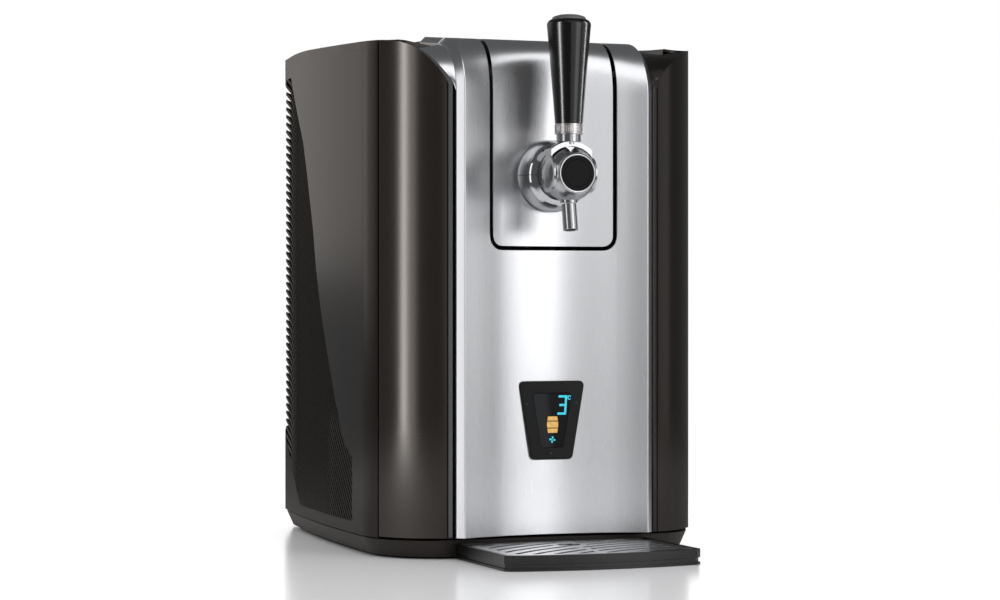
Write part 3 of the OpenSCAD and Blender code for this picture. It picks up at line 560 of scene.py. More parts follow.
@contextmanager
def edited(mesh: bpy.types.Mesh,
           source: bpy.types.Mesh | None = None) -> Iterator[bmesh.types.BMesh]:
    """Opens a mesh for editing and writes it back.

    Args:
        mesh: the mesh.
        source: the mesh that is read in its place.
    Returns:
        its editable copy.
    """
    work = bmesh.new()
    work.from_mesh(source or mesh)
    yield work
    work.to_mesh(mesh)
    work.free()


class Builder:
    """Collects vertices and faces of one piece, in millimetres."""

    def __init__(self, name: str) -> None:
        """Args: name of the piece."""
        self.name = name
        self.mesh = bmesh.new()

    def verts(self, points: Iterable[Point]) -> list[bmesh.types.BMVert]:
        """Args: points. Returns: their vertices."""
        return [self.mesh.verts.new(Vector(p) * MM) for p in points]

    def face(self, *corners: bmesh.types.BMVert) -> None:
        """Makes a face.

        Args:
            corners: its corners, in order; repeats are dropped.
        """
        kept = list(dict.fromkeys(corners))
        if len(kept) > 2:
            self.mesh.faces.new(kept)

    def skin(self, rings: Sequence[Sequence[Point]], closed: bool = False,
             caps: bool = False) -> list[list[bmesh.types.BMVert]]:
        """Joins rings of equal length with quads.

        Args:
            rings: the rings.
            closed: whether each ring closes on itself.
            caps: whether the first and last ring are filled.
        Returns:
            the vertices, ring by ring.
        """
        rows = [self.verts(r) for r in rings]
        count = len(rows[0])
        for a, b in zip(rows, rows[1:]):
            for i in range(count if closed else count - 1):
                j = (i + 1) % count
                self.face(a[i], a[j], b[j], b[i])
        if caps:
            self.face(*reversed(rows[0]))
            self.face(*rows[-1])
        return rows

    def object(self, weld: float = 0.0005, towards: Point | None = None) -> bpy.types.Object:
        """Closes the seams and makes the object.

        Args:
            weld: the distance in mm at which vertices are merged.
            towards: for an open sheet, the direction that its faces look to on the whole;
                without it the piece is closed and they look outwards.
        Returns:
            the object.
        """
        bmesh.ops.remove_doubles(self.mesh, verts=self.mesh.verts, dist=weld * MM)
        if towards is None:
            bmesh.ops.recalc_face_normals(self.mesh, faces=self.mesh.faces)
        data = bpy.data.meshes.new(self.name)
        self.mesh.to_mesh(data)
        self.mesh.free()
        if towards is not None:
            face_to(data, towards)
        return linked(self.name, data)


def face_to(mesh: bpy.types.Mesh, towards: Point) -> None:
    """Turns a sheet over where it looks the wrong way.

    Args:
        mesh: the sheet.
        towards: the direction that its faces look to on the whole.
    """
    mesh.update()
    way = Vector(towards)
    if sum(p.normal.dot(way) * p.area for p in mesh.polygons) < 0:
        mesh.flip_normals()


def evaluated(obj: bpy.types.Object) -> bpy.types.Object:
    """Turns an object with modifiers into a plain mesh object.

    Args:
        obj: the object; its modifiers are removed.
    Returns:
        the same object with the evaluated mesh.
    """
    bpy.context.view_layer.update()
    depsgraph = bpy.context.evaluated_depsgraph_get()
    data = bpy.data.meshes.new_from_object(obj.evaluated_get(depsgraph))
    obj.modifiers.clear()
    old = obj.data
    obj.data = data
    if old.users == 0:
        bpy.data.meshes.remove(old)
    return obj


def modified(obj: bpy.types.Object, kind: str, **settings: object) -> bpy.types.Object:
    """Applies a modifier.

    Args:
        obj: the object.
        kind: the modifier's type.
        settings: its properties.
    Returns:
        the same object.
    """
    modifier = obj.modifiers.new(kind.lower(), kind)
    for key, value in settings.items():
        setattr(modifier, key, value)
    return evaluated(obj)


def shade(obj: bpy.types.Object, angle: float) -> None:
    """Shades an object smooth between its sharp edges.

    Args:
        obj: the object.
        angle: the angle in degrees above which an edge is sharp.
    """
    limit = math.radians(angle)
    with edited(obj.data) as work:
        for f in work.faces:
            f.smooth = True
        for e in work.edges:
            e.smooth = len(e.link_faces) == 2 and e.calc_face_angle(0.0) < limit
    modified(obj, "WEIGHTED_NORMAL", keep_sharp=True, weight=80)


def solidify(obj: bpy.types.Object, thickness: float, even: bool = True) -> None:
    """Args: obj, the thickness in mm added behind its faces, and whether it is kept even."""
    modified(obj, "SOLIDIFY", thickness=thickness * MM, offset=-1.0, use_even_offset=even)


def soften(obj: bpy.types.Object, width: float, segments: int = 2, angle: float = 28.0) -> None:
    """Args: obj, bevel width in mm, its segments and the edge angle it starts at."""
    modified(obj, "BEVEL", width=width * MM, segments=segments, limit_method="ANGLE",
             angle_limit=math.radians(angle), use_clamp_overlap=True)


def cut(obj: bpy.types.Object, *tools: bpy.types.Object) -> None:
    """Args: obj, and the solids that are taken from it and then removed."""
    for tool in tools:
        modified(obj, "BOOLEAN", operation="DIFFERENCE", solver="EXACT", object=tool)
        bpy.data.objects.remove(tool)


def settle(obj: bpy.types.Object, finish: Finish, body: Body, *nodes: str,
           smooth: float = 32.0) -> bpy.types.Object:
    """Gives a piece its finish and its body, and hides the CAD nodes it stands for.

    Args:
        obj: the piece.
        finish: its finish.
        body: the body it moves with.
        nodes: the CAD nodes it replaces.
        smooth: edges sharper than this many degrees stay sharp.
    Returns:
        the piece.
    """
    obj.data.materials.clear()
    obj.data.materials.append(finish.material())
    shade(obj, smooth)
    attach(obj, body.value)
    if nodes:
        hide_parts(*nodes)
    LOG.info("%s: %d faces on %s", obj.name, len(obj.data.polygons), body.value)
    return obj


def prism(name: str, outline: Sequence[Flat], low: float, high: float,
          axis: Axis = Axis.FORWARD) -> bpy.types.Object:
    """Runs a flat outline along an axis.

    Args:
        name: the object's name.
        outline: points in the other two axes, in alphabetic order.
        low: where it starts.
        high: where it ends.
        axis: the axis.
    Returns:
        the solid.
    """
    place: dict[Axis, Callable[[Flat, float], Point]] = {
        Axis.ACROSS: lambda p, v: (v, p[0], p[1]),
        Axis.FORWARD: lambda p, v: (p[0], v, p[1]),
        Axis.UP: lambda p, v: (p[0], p[1], v),
    }
    b = Builder(name)
    b.skin([[place[axis](p, v) for p in outline] for v in (low, high)], True, True)
    return b.object()


def turned(name: str, profile: Sequence[Flat], origin: Point, axis: Axis = Axis.UP,
           steps: int = 96, closed: bool = True) -> bpy.types.Object:
    """Turns a profile about an axis.

    Args:
        name: the object's name.
        profile: points (radius, distance up or forward along the axis).
        origin: a point on the axis.
        axis: the axis, UP or FORWARD.
        steps: facets round.
        closed: whether the profile closes on itself.
    Returns:
        the solid.
    """
    b = Builder(name)
    rings = []
    for i in range(steps + 1):
        a = 2 * math.pi * (i % steps) / steps
        c, s = math.cos(a), math.sin(a)
        ring = []
        for r, h in profile:
            local = (r * c, r * s, h) if axis is Axis.UP else (r * c, -h, r * s)
            ring.append(tuple(o + v for o, v in zip(origin, local)))
        rings.append(ring)
    b.skin(rings, closed)
    return b.object(0.002)


def refined(node: str, finish: Finish, body: Body, width: float, smooth: float = 32.0,
            shift: Callable[[Vector], float] | None = None,
            slices: Sequence[tuple[Point, Point]] = ()) -> bpy.types.Object:
    """A CAD node's own shape with welded surfaces and soft edges.

    Args:
        node: the node.
        finish: the piece's finish.
        body: the body it moves with.
        width: bevel width in mm.
        smooth: shading limit in degrees.
        shift: how far a vertex is moved up, in mm.
        slices: planes (point in mm, normal) that add vertices for the shift.
    Returns:
        the piece that stands for the node.
    """
    data = bpy.data.meshes.new(f"{node}_looks")
    with edited(data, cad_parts[node].data) as work:
        bmesh.ops.remove_doubles(work, verts=work.verts, dist=0.004 * MM)
        bmesh.ops.dissolve_limit(work, angle_limit=math.radians(0.6), verts=work.verts,
                                 edges=work.edges, delimit=set())
        for point, normal in slices:
            bmesh.ops.bisect_plane(work, geom=work.verts[:] + work.edges[:] + work.faces[:],
                                   plane_co=Vector(point) * MM, plane_no=normal)
        if shift:
            for v in work.verts:
                v.co.z += shift(v.co / MM) * MM
        bmesh.ops.recalc_face_normals(work, faces=work.faces)
    obj = linked(f"{node}_looks", data)
    soften(obj, width, 2, 34.0)
    return settle(obj, finish, body, node, smooth=smooth)


# ---- repeated things --------------------------------------------------------------------


@dataclass
class Repeat:
    """A Geometry Nodes tree that sets one part at many places.

    The points carry "turn" (Euler angles) and "size" (scale per axis).
    """

    name: str
    part: bpy.types.Object
    finish: Finish

    @staticmethod
    def tree() -> bpy.types.NodeTree:
        """Makes the node group, once.

        Returns:
            the node group.
        """
        known = bpy.data.node_groups.get("repeat_part")
        if known:
            return known
        tree = bpy.data.node_groups.new("repeat_part", "GeometryNodeTree")
        face = tree.interface
        for label, kind in (("Places", "NodeSocketGeometry"), ("Part", "NodeSocketObject"),
                            ("Finish", "NodeSocketMaterial")):
            face.new_socket(label, in_out="INPUT", socket_type=kind)
        face.new_socket("Result", in_out="OUTPUT", socket_type="NodeSocketGeometry")
        nodes = Nodes(tree)
        places, part, finish = (Sock(nodes, o) for o in
                                nodes.make("NodeGroupInput").outputs[:3])
        turn, size = (nodes.node("GeometryNodeInputNamedAttribute",
                                 {"data_type": "FLOAT_VECTOR"}, {"Name": label}, "Attribute")
                      for label in ("turn", "size"))
        shape = nodes.node("GeometryNodeObjectInfo", None, {"Object": part}, "Geometry")
        rotation = nodes.node("FunctionNodeEulerToRotation", None, {0: turn})
        spread = nodes.node("GeometryNodeInstanceOnPoints", None,
                            {"Points": places, "Instance": shape, "Rotation": rotation,
                             "Scale": size})
        real = nodes.node("GeometryNodeRealizeInstances", None, {0: spread})
        painted = nodes.node("GeometryNodeSetMaterial", None,
                             {"Geometry": real, "Material": finish})
        nodes.make("NodeGroupOutput", None, {0: painted})
        return tree

    def at(self, places: Sequence[tuple[Point, Point, Point]]) -> bpy.types.Object:
        """Sets the part at the places.

        Args:
            places: position in mm, Euler angles in radians, scale per axis.
        Returns:
            the finished object; the part's own object is removed.
        """
        data = bpy.data.meshes.new(self.name)
        data.from_pydata([tuple(v * MM for v in p[0]) for p in places], [], [])
        for label, index in (("turn", 1), ("size", 2)):
            a = data.attributes.new(label, "FLOAT_VECTOR", "POINT")
            a.data.foreach_set("vector", [v for p in places for v in p[index]])
        obj = linked(self.name, data)
        m = obj.modifiers.new("repeat", "NODES")
        m.node_group = self.tree()
        given = {"Part": self.part, "Finish": self.finish.material()}
        for item in m.node_group.interface.items_tree:
            if item.in_out == "INPUT" and item.name in given:
                m[item.identifier] = given[item.name]
        evaluated(obj)
        for label in ("turn", "size"):
            if label in obj.data.attributes:
                obj.data.attributes.remove(obj.data.attributes[label])
        bpy.data.objects.remove(self.part)
        return obj


# ---- shapes shared by several pieces ----------------------------------------------------


@dataclass(frozen=True)
class Casing:
    """Plan outline of the casing, and the heights of its top edges."""

    half_w: float = 150.5
    corner_x: float = 84.0
    corner_y: float = -62.0
    corner_b: float = 70.0
    curve: float = 0.000236
    rear_y: float = 249.5
    rear_r: float = 10.0
    seam_y: float = -91.0
    low: float = 17.0
    top: float = 439.0
    slope: float = math.radians(2.5)
    rim_drop: float = 7.0
    tail_y: float = 112.0
    tail_run: float = 88.0
    tail_fall: float = 2.5
    tail_limit: float = 5.0
    middle_x: float = 70.0
    wing_x: float = 92.0
    wing_slope: float = 0.068
    nose_x: float = 124.0
    nose_y: float = -10.0
    nose_fall: float = 8.0
    shoulder_z: float = 439.5
    shoulder_fall: float = 37.0
    gutter_y: float = -131.5
    gutter_z: float = 402.6
    gutter_rise: float = 28.4
    gutter_run: float = 40.0

    @property
    def corner_end(self) -> float:
        """Returns: y where the side wall ends and the rear corner begins."""
        return self.rear_y - self.rear_r

    def side_x(self, y: float) -> float:
        """Args: y. Returns: x of the side wall there."""
        return self.half_w - self.curve * (y - self.corner_y) ** 2

    def corner(self, y: float) -> float:
        """Args: y in the front corner. Returns: x of the outline there."""
        t = math.asin((self.corner_y - y) / self.corner_b)
        return self.corner_x + (self.half_w - self.corner_x) * math.cos(t)

    def plan_y(self, x: float) -> float:
        """Args: x in the front corner. Returns: y of the outline there."""
        t = math.acos(ramp(x, self.corner_x, self.half_w))
        return self.corner_y - self.corner_b * math.sin(t)

    def half(self, corner: int = 40, side: int = 30, rear: int = 8) -> list[Flat]:
        """The right half of the outline, front to rear.

        Args:
            corner: steps round the front corner.
            side: steps along the side.
            rear: steps round the rear corner.
        Returns:
            its points.
        """
        end = self.corner_end
        points = []
        for i in range(corner + 1):
            t = math.pi / 2 * (1 - i / corner)
            points.append((self.corner_x + (self.half_w - self.corner_x) * math.cos(t),
                           self.corner_y - self.corner_b * math.sin(t)))
        for i in range(1, side + 1):
            y = self.corner_y + (end - self.corner_y) * i / side
            points.append((self.side_x(y), y))
        for i in range(1, rear + 1):
            t = math.pi / 2 * i / rear
            points.append((self.side_x(end) - self.rear_r * (1 - math.cos(t)),
                           end + self.rear_r * math.sin(t)))
        return points

    def around(self, u: float, out: float, z: float, side: Side) -> Point:
        """Bends a flat wall round the rear corner.

        Args:
            u: distance along the wall, which is y up to the corner.
            out: distance outside it.
            z: height.
            side: the side.
        Returns:
            the point.
        """
        end = self.corner_end
        if u <= end:
            return (side * (self.side_x(u) + out), u, z)
        t = (u - end) / self.rear_r
        r = self.rear_r + out
        return (side * (self.side_x(end) - self.rear_r + r * math.cos(t)),
                end + r * math.sin(t), z)

    def tail(self, y: float) -> float:
        """Args: y. Returns: how far the top edge falls towards the rear there."""
        back = max(y - self.tail_y, 0.0) / self.tail_run
        return min(self.tail_fall * back ** 2, self.tail_limit)

    def rim(self, y: float) -> float:
        """Args: y. Returns: height of the side walls' top edge there."""
        return (self.top - self.rim_drop / math.cos(self.slope)
                + (y - self.seam_y) * math.tan(self.slope) - self.tail(y))

    def crown(self, p: Vector) -> float:
        """Lowers the top cover's sides, more so at the front, and its rear edge.

        Args:
            p: a point of the top cover.
        Returns:
            how far it is moved up.
        """
        x = abs(p.x)
        wing = self.wing_slope * (self.half_w - max(x, self.wing_x))
        wing += (self.nose_fall * ramp(p.y, self.nose_y, self.seam_y)
                 * ramp(x, self.nose_x, self.wing_x))
        return -wing * eased(ramp(x, self.middle_x, self.wing_x)) - self.tail(p.y)

    def shoulder(self, x: float) -> float:
        """Args: x. Returns: height of the door cheek's outer edge there."""
        inwards = max(self.half_w - x, 0.0) / (self.half_w - self.wing_x)
        return self.shoulder_z - self.shoulder_fall * inwards ** 2.2

    def gutter(self, y: float) -> float:
        """Args: y. Returns: height of the cheek's top beside the steel there."""
        back = max(y - self.gutter_y, 0.0) / self.gutter_run
        return self.gutter_z + self.gutter_rise * back ** 0.85


@dataclass(frozen=True)
class SteelFront:
    """The hollow steel surface that door, lid and top strips share."""

    half_w: float = 90.0
    face_w: float = 84.0
    edge_y: float = -140.0
    sag: float = 17.0
    top: float = 443.0
    radius: float = 48.0
    rise: float = 0.1057
    arc: int = 16

    @property
    def arc_z(self) -> float:
        """Returns: height at which the face begins to bend back."""
        return self.top - self.radius

    def face_y(self, x: float) -> float:
        """Args: x. Returns: y of the face there."""
        r = (self.face_w ** 2 + self.sag ** 2) / (2 * self.sag)
        return self.edge_y + self.sag - r + math.sqrt(r * r - min(abs(x), self.face_w) ** 2)

    def at_height(self, x: float, z: float, d: float = 0.0) -> Point:
        """Args: x, z and sink d. Returns: the point on the face."""
        return (x, self.face_y(x) + d, z)

    def on_arc(self, x: float, step: float, d: float = 0.0) -> Point:
        """A point on the bend between the face and the top.

        Args:
            x: its place across.
            step: from 0 at the face to 1 on top.
            d: its depth behind the surface.
        Returns:
            the point.
        """
        t = math.pi / 2 * step
        y = self.face_y(x)
        y += (self.edge_y - y) * math.sin(t) ** 2
        return (x, y + self.radius - (self.radius - d) * math.cos(t),
                self.arc_z + (self.radius - d) * math.sin(t))

    def on_top(self, x: float, y: float, d: float = 0.0) -> Point:
        """Args: x, y and sink d. Returns: the point on the flat top."""
        return (x, y, self.top + (y - self.edge_y - self.radius) * self.rise - d)


CASING = Casing()
FRONT = SteelFront()


# ---- sub-assemblies ---------------------------------------------------------------------


@dataclass
class Cabinet:
    """Casing, base, top, rear and louvres."""

    wall: float = 2.5
    wall_end: float = 236.0
    hinge_x: float = 132.5
    hinge_y: float = -95.0
    hinge_room: float = 13.2
    slat_pitch: float = 7.3
    slat_angle: float = math.radians(45)
    slat_depth: float = 4.4
    slat_end: float = 238.0
    slat_steps: int = 56
    blank: float = 100.0
    rear_u: float = 190.0
    panel_top: float = 420.0
    vent: list[Flat] = field(default_factory=lambda: [
        (254.3, 98.4), (254.3, 430), (207, 430), (173, 394), (143, 365), (123, 331), (98, 280),
        (87, 247), (70, 212), (42, 167), (14, 126), (-11, 94), (-36, 82), (-36, 27),
        (157, 27)])

    def build(self) -> None:
        """Makes every piece."""
        for side in Side:
            self.side(side)
            self.louvres(side)
            self.backing(side)
        # planes that give the top cover vertices where its sides and rear edge bend
        across = [((s * x, 0.0, 0.0), (1.0, 0.0, 0.0)) for s in Side
                  for x in (70.0, 75.0, 80.0, 84.0, 88.0, 92.0, 102.0, 112.0, 122.0, 132.0)]
        along = [((0.0, y, 0.0), (0.0, 1.0, 0.0))
                 for y in [-60.0, -35.0, -10.0] + [CASING.tail_y + 11.0 * k for k in range(13)]]
        refined("top_cover", BROWN, Body.CABINET, 0.9, 20, CASING.crown, across + along)
        refined("rear_panel", BROWN, Body.CABINET, 0.4,
                shift=lambda p: -CASING.tail(p.y) if p.z > self.panel_top else 0.0)
        refined("base_plinth", BROWN, Body.CABINET, 0.5)
        for side in Side:
            refined(f"{side.label}_top_trim", STEEL, Body.CABINET, 0.6)
        refined("rear_grille", BLACK, Body.CABINET, 0.3)

    def side(self, side: Side) -> None:
        """Makes a side wall with the opening for its louvres.

        Args:
            side: the side.
        """
        front = CASING.seam_y + 0.5
        plan = [(CASING.corner(front), front)]
        plan += [p for p in CASING.half() if front + 0.1 < p[1] < self.wall_end - 0.5]
        plan += [(CASING.side_x(self.wall_end), self.wall_end)]
        steps, low = 24, CASING.low
        b = Builder(f"{side.label}_side_wall")
        b.skin([[(side * x, y, low + (CASING.rim(y) - low) * k / steps)
                 for k in range(steps + 1)] for x, y in plan])
        obj = b.object(towards=(side, 0.0, 0.0))
        solidify(obj, self.wall)
        swing = circle(side * self.hinge_x, self.hinge_y, self.hinge_room, 64)
        cut(obj, prism("hinge_clearance", swing, 0.0, 460.0, Axis.UP))
        soften(obj, 0.5, 2, 30)
        cut(obj, prism("vent_tool", self.vent, 60.0 * side, 170.0 * side, Axis.ACROSS))
        settle(obj, BROWN, Body.CABINET, f"{side.label}_side_panel", smooth=30)

    def crossings(self, height: Callable[[Flat], float]) -> list[float]:
        """Where a line cuts the vent's outline.

        Args:
            height: how far a point (y, z) is above the line.
        Returns:
            the y of each crossing, from front to rear.
        """
        hits = []
        for a, b in zip(self.vent, self.vent[1:] + self.vent[:1]):
            f, g = height(a), height(b)
            if (f < 0) != (g < 0):
                hits.append(a[0] + (b[0] - a[0]) * f / (f - g))
        return sorted(hits)

    def depth(self, u: float) -> float:
        """Args: u along the wall. Returns: how deep the slots are there."""
        return 1.5 + 3.6 * eased(ramp(u, 156.0, self.rear_u)) + 1.4 * ramp(u, 52.0, 22.0)

    @staticmethod
    def width(u: float, z: float) -> float:
        """Args: u along the wall, z. Returns: the slats' width there, 1 leaving no slot."""
        return (0.94 - 0.44 * ramp(u, 160.0, 186.0)
                - 0.36 * ramp(u, 52.0, 22.0) * ramp(z, 130.0, 100.0))

    def lift(self, u: float) -> float:
        """Moves the slats so that they lie flatter at the rear corner.

        Args:
            u: distance along the wall.
        Returns:
            how far they are moved up there.
        """
        t = max(u - self.rear_u, 0.0)
        run = 20.0
        return -0.73 * (min(t, run) ** 2 / (2 * run) + max(t - run, 0.0))

    def slat(self) -> bpy.types.Object:
        """Makes one slat lying flat, with x outwards and y along it.

        Returns:
            the slat, of the blank's length.
        """
        half = self.slat_pitch * math.cos(self.slat_angle) / 2 * 0.98
        section = [(-self.slat_depth, -half), (-0.3, -half), (-0.1, 0.25 - half),
                   (-0.1, half - 0.25), (-0.3, half), (-self.slat_depth, half)]
        b = Builder("slat")
        b.skin([[(x, self.blank * k / self.slat_steps, z) for x, z in section]
                for k in range(self.slat_steps + 1)], True, True)
        return b.object()

    def louvres(self, side: Side) -> None:
        """Fills a vent with slats and bends them to the wall.

        Args:
            side: the side.
        """
        lean = math.tan(self.slat_angle)
        lowest, highest, end = -260.0, 480.0, 2.5
        places = []
        for k in range(math.ceil((highest - lowest) / self.slat_pitch)):
            rise = lowest + k * self.slat_pitch
            hits = self.crossings(lambda p: p[1] - rise - lean * p[0])
            for y0, y1 in zip(hits[::2], hits[1::2]):
                y0, y1 = y0 - end, min(y1 + (28.0 if y1 > self.rear_u else end), self.slat_end)
                length = (y1 - y0) / math.cos(self.slat_angle)
                if length > 6:
                    places.append(((0.0, y0, rise + y0 * lean), (self.slat_angle, 0.0, 0.0),
                                   (1.0, length / self.blank, 1.0)))
        made = Repeat(f"{side.label}_louvre_slats", self.slat(), BROWN_VENT).at(places)
        with edited(made.data) as work:
            for v in work.verts:
                out, u, z = v.co / MM
                middle = self.slat_pitch / 2
                off = (z - u * lean - lowest + middle) % self.slat_pitch - middle
                out *= (self.depth(u) + 0.3) / self.slat_depth
                z += self.lift(u) + 0.4 * out - off * (1 - self.width(u, z))
                v.co = Vector(CASING.around(u, out, z, side)) * MM
            bmesh.ops.recalc_face_normals(work, faces=work.faces)
        settle(made, BROWN_VENT, Body.CABINET, f"{side.label}_vent_louvres", smooth=30)

    def backing(self, side: Side) -> None:
        """Makes the dark plate behind the slats, painted shade in place of the dark inside of the
        vent.

        Args:
            side: the side.
        """
        flat = [-41.0 + 281.0 * k / 30 for k in range(31)]
        bent = [242.0 + 2.4 * k for k in range(1, 6)]
        rows = []
        for u in flat + bent:
            low, high = self.column(u)
            low, high = low - 4, min(high + 6, CASING.rim(u) - 3)
            rows.append([CASING.around(u, -self.depth(u), low + (high - low) * k / 12, side)
                         for k in range(13)])
        b = Builder(f"{side.label}_vent_backing")
        b.skin(rows)
        plate = b.object(towards=(side, 0.0, 0.0))
        solidify(plate, 0.8)
        settle(plate, BROWN_DARK, Body.CABINET)

    def column(self, y: float) -> tuple[float, float]:
        """The vent's extent at one place along the wall.

        Args:
            y: the place.
        Returns:
            its lowest and highest z.
        """
        ends = [p[0] for p in self.vent]
        y = min(max(y, min(ends) + 0.1), max(ends) - 0.1)
        hits = []
        for (y0, z0), (y1, z1) in zip(self.vent, self.vent[1:] + self.vent[:1]):
            if (y0 - y) * (y1 - y) <= 0 and y0 != y1:
                hits.append(z0 + (z1 - z0) * (y - y0) / (y1 - y0))
        return min(hits), max(hits)


@dataclass
class Door:
    """Steel skin, cheeks and display of the door."""

    low: float = 18.0
    cut_half: float = 58.3
    cut_z: float = 261.2
    cut_r: float = 11.8
    end_y: float = -88.5
    hinge_levels: Flat = (28.0, 396.0)
    hole_half: float = 24.0
    hole_low: Flat = (17.2, 84.5)
    hole_high: Flat = (27.4, 146.9)
    cheek_x: float = 92.0
    cheek_end: float = -91.5
    rim_w: float = 4.2
    surround_y: float = -126.5

    def build(self) -> None:
        """Makes every piece."""
        self.skin()
        for side in Side:
            self.cheek(side)
            self.rim(side)
            self.flare(side)
        self.bosses()
        self.display()

    def skin(self) -> None:
        """The bent steel front with the lid's cut-out and the display's hole."""
        hole_columns = [0.0, 6.0, 12.0, 18.0, self.hole_half]
        inner = hole_columns + [30.0, 36.0, 42.0, 46.5, 49.5, 52.4, 55.0, 57.0, 58.0,
                                self.cut_half]
        outer = [64.0, 70.0, 77.0, FRONT.face_w]
        # x and sink of each column; the last ones bend back along the edge
        half = [(x, 0.0) for x in inner + outer] + [(FRONT.half_w, 6.0), (FRONT.half_w, 20.0)]
        columns = [(-x, d) for x, d in reversed(half[1:])] + half
        below, beside = [self.low, 30.0, 45.0, 60.0], [95.0, 106.0, 117.0, 128.0, 138.0]
        levels = (below + [self.hole_low[1]] + beside
                  + [self.hole_high[1], 160.0, 175.0, 195.0, 215.0, 235.0, 249.0])
        hole = range(len(below), len(below) + len(beside) + 1)
        b = Builder("steel_front")
        rows = []
        for x, d in columns:
            top = self.cut_line(abs(x))
            col = [FRONT.at_height(self.warp(x, z), z, d) for z in levels]
            rows.append(b.verts(col + [FRONT.at_height(x, z, d)
                                       for z in ((levels[-1] + top) / 2, top)]))
        for i, (a, c) in enumerate(zip(rows, rows[1:])):
            middle = (abs(columns[i][0]) + abs(columns[i + 1][0])) / 2
            for j in range(len(a) - 1):
                if middle > self.hole_half or j not in hole:
                    b.face(a[j], c[j], c[j + 1], a[j + 1])
        for side in Side:
            rings = []
            for x, d in [(side * x, d) for x, d in half if x >= self.cut_half]:
                ring = [FRONT.at_height(x, z, d) for z in
                        (self.cut_z + self.cut_r, 300.0, 330.0, 360.0, 380.0, FRONT.arc_z)]
                ring += [FRONT.on_arc(x, k / FRONT.arc, d) for k in range(1, FRONT.arc + 1)]
                rings.append(ring + [FRONT.on_top(x, self.end_y, d)])
            b.skin(rings)
        obj = b.object()
        face_to(obj.data, AHEAD)
        solidify(obj, 2.0)
        soften(obj, 0.7, 3, 30)
        settle(obj, STEEL, Body.DOOR, "door_skin", smooth=26)

    def cut_line(self, x: float) -> float:
        """Args: x. Returns: height of the lid's cut-out there."""
        reach = min(max(x - self.cut_half + self.cut_r, 0.0), self.cut_r)
        return self.cut_z + self.cut_r - math.sqrt(self.cut_r ** 2 - reach ** 2)

    def warp(self, x: float, z: float) -> float:
        """Leads the middle columns along the display's slanted hole.

        Args:
            x: the column.
            z: the height.
        Returns:
            x at that height.
        """
        (bottom, low), (top, high) = self.hole_low, self.hole_high
        half, free = self.hole_half, 42.0
        edge = bottom + (top - bottom) * ramp(z, low, high)
        edge += (half - edge) * (ramp(z, low, low - 30.0) + ramp(z, high, high + 40.0))
        a = abs(x)
        if a <= half:
            a = a * edge / half
        elif a < free:
            a = edge + (a - half) * (free - edge) / (free - half)
        return math.copysign(a, x)

    def cheek(self, side: Side) -> None:
        """The brown cheek beside the steel, with a groove that sets off its rim.

        Args:
            side: the side.
        """
        x0, rim_x = self.cheek_x, self.cheek_x + self.rim_w
        groove = [(rim_x - 0.2, 0.0), (rim_x + 0.1, 1.6), (rim_x + 0.7, 1.6)]
        outer = [(x0 + 1.4, CASING.plan_y(x0 + 1.4))]
        outer += [(x, CASING.plan_y(rim_x) + sink) for x, sink in groove]
        outer += [(rim_x + 0.9, CASING.plan_y(rim_x + 0.9))]
        outer += [p for p in CASING.half(corner=90)
                  if p[0] > rim_x + 1.3 and p[1] < self.cheek_end - 0.3]
        outer += [(CASING.corner(self.cheek_end), self.cheek_end)]
        crease = [CASING.plan_y(x) for x, _ in outer]
        flank = [(x0, y) for y in reversed(crease) if y < -112.5]
        columns = [(x, y, CASING.gutter(y)) for x, y in flank]
        columns += [(x, y, CASING.shoulder(x)) for x, y in outer]
        b = Builder(f"{side.label}_cheek")
        rows = b.skin([[(side * x, y, self.low + (top - self.low) * k / 20) for k in range(21)]
                       for x, y, top in columns])
        # top surface, from the outer edge down to the steel
        inside = b.verts([(side * x0, y, CASING.gutter(y)) for y in crease])
        edge = [r[-1] for r in rows[len(flank):]]
        for i in range(len(edge) - 1):
            b.face(edge[i], edge[i + 1], inside[i + 1], inside[i])
        obj = b.object(0.01)
        face_to(obj.data, (side, 0.0, 0.0))
        solidify(obj, 2.2, False)
        soften(obj, 0.5, 2, 32)
        settle(obj, BROWN, Body.DOOR, f"{side.label}_door_cheek", smooth=30)

    def rim(self, side: Side) -> None:
        """The thin strip on the cheek's rim, which narrows along the shoulder; on the left it is
        painted light grey, a painted highlight.

        Args:
            side: the side.
        """
        x0, proud, across = self.cheek_x + 0.4, 0.15, range(5)
        rings = []
        for z in (self.low + 1.0, 120.0, 250.0, 380.0):
            rings.append([(side * x, CASING.plan_y(x) - proud, z)
                          for x in [x0 + 3.2 * j / 4 for j in across]])
        for k in range(17):
            x = x0 + 26.0 * (k / 16) ** 1.5
            z = CASING.shoulder(x) - 0.5
            slope = (CASING.shoulder(x + 0.1) - CASING.shoulder(x)) * 10
            width = (3.4 * (1 - k / 16) + 0.3) / math.hypot(slope, 1.0)
            ring = []
            for j in across:
                w = width * j / 4
                ring.append((side * (x + w * slope), CASING.plan_y(x + w * slope) - proud, z - w))
            rings.append(ring)
        b = Builder(f"{side.label}_cheek_rim")
        b.skin(rings)
        obj = b.object(towards=AHEAD)
        solidify(obj, 0.4, False)
        # the left strip gets the painted highlight grey, the right one plain brown
        settle(obj, RIM_HIGHLIGHT if side is Side.LEFT else BROWN, Body.DOOR)

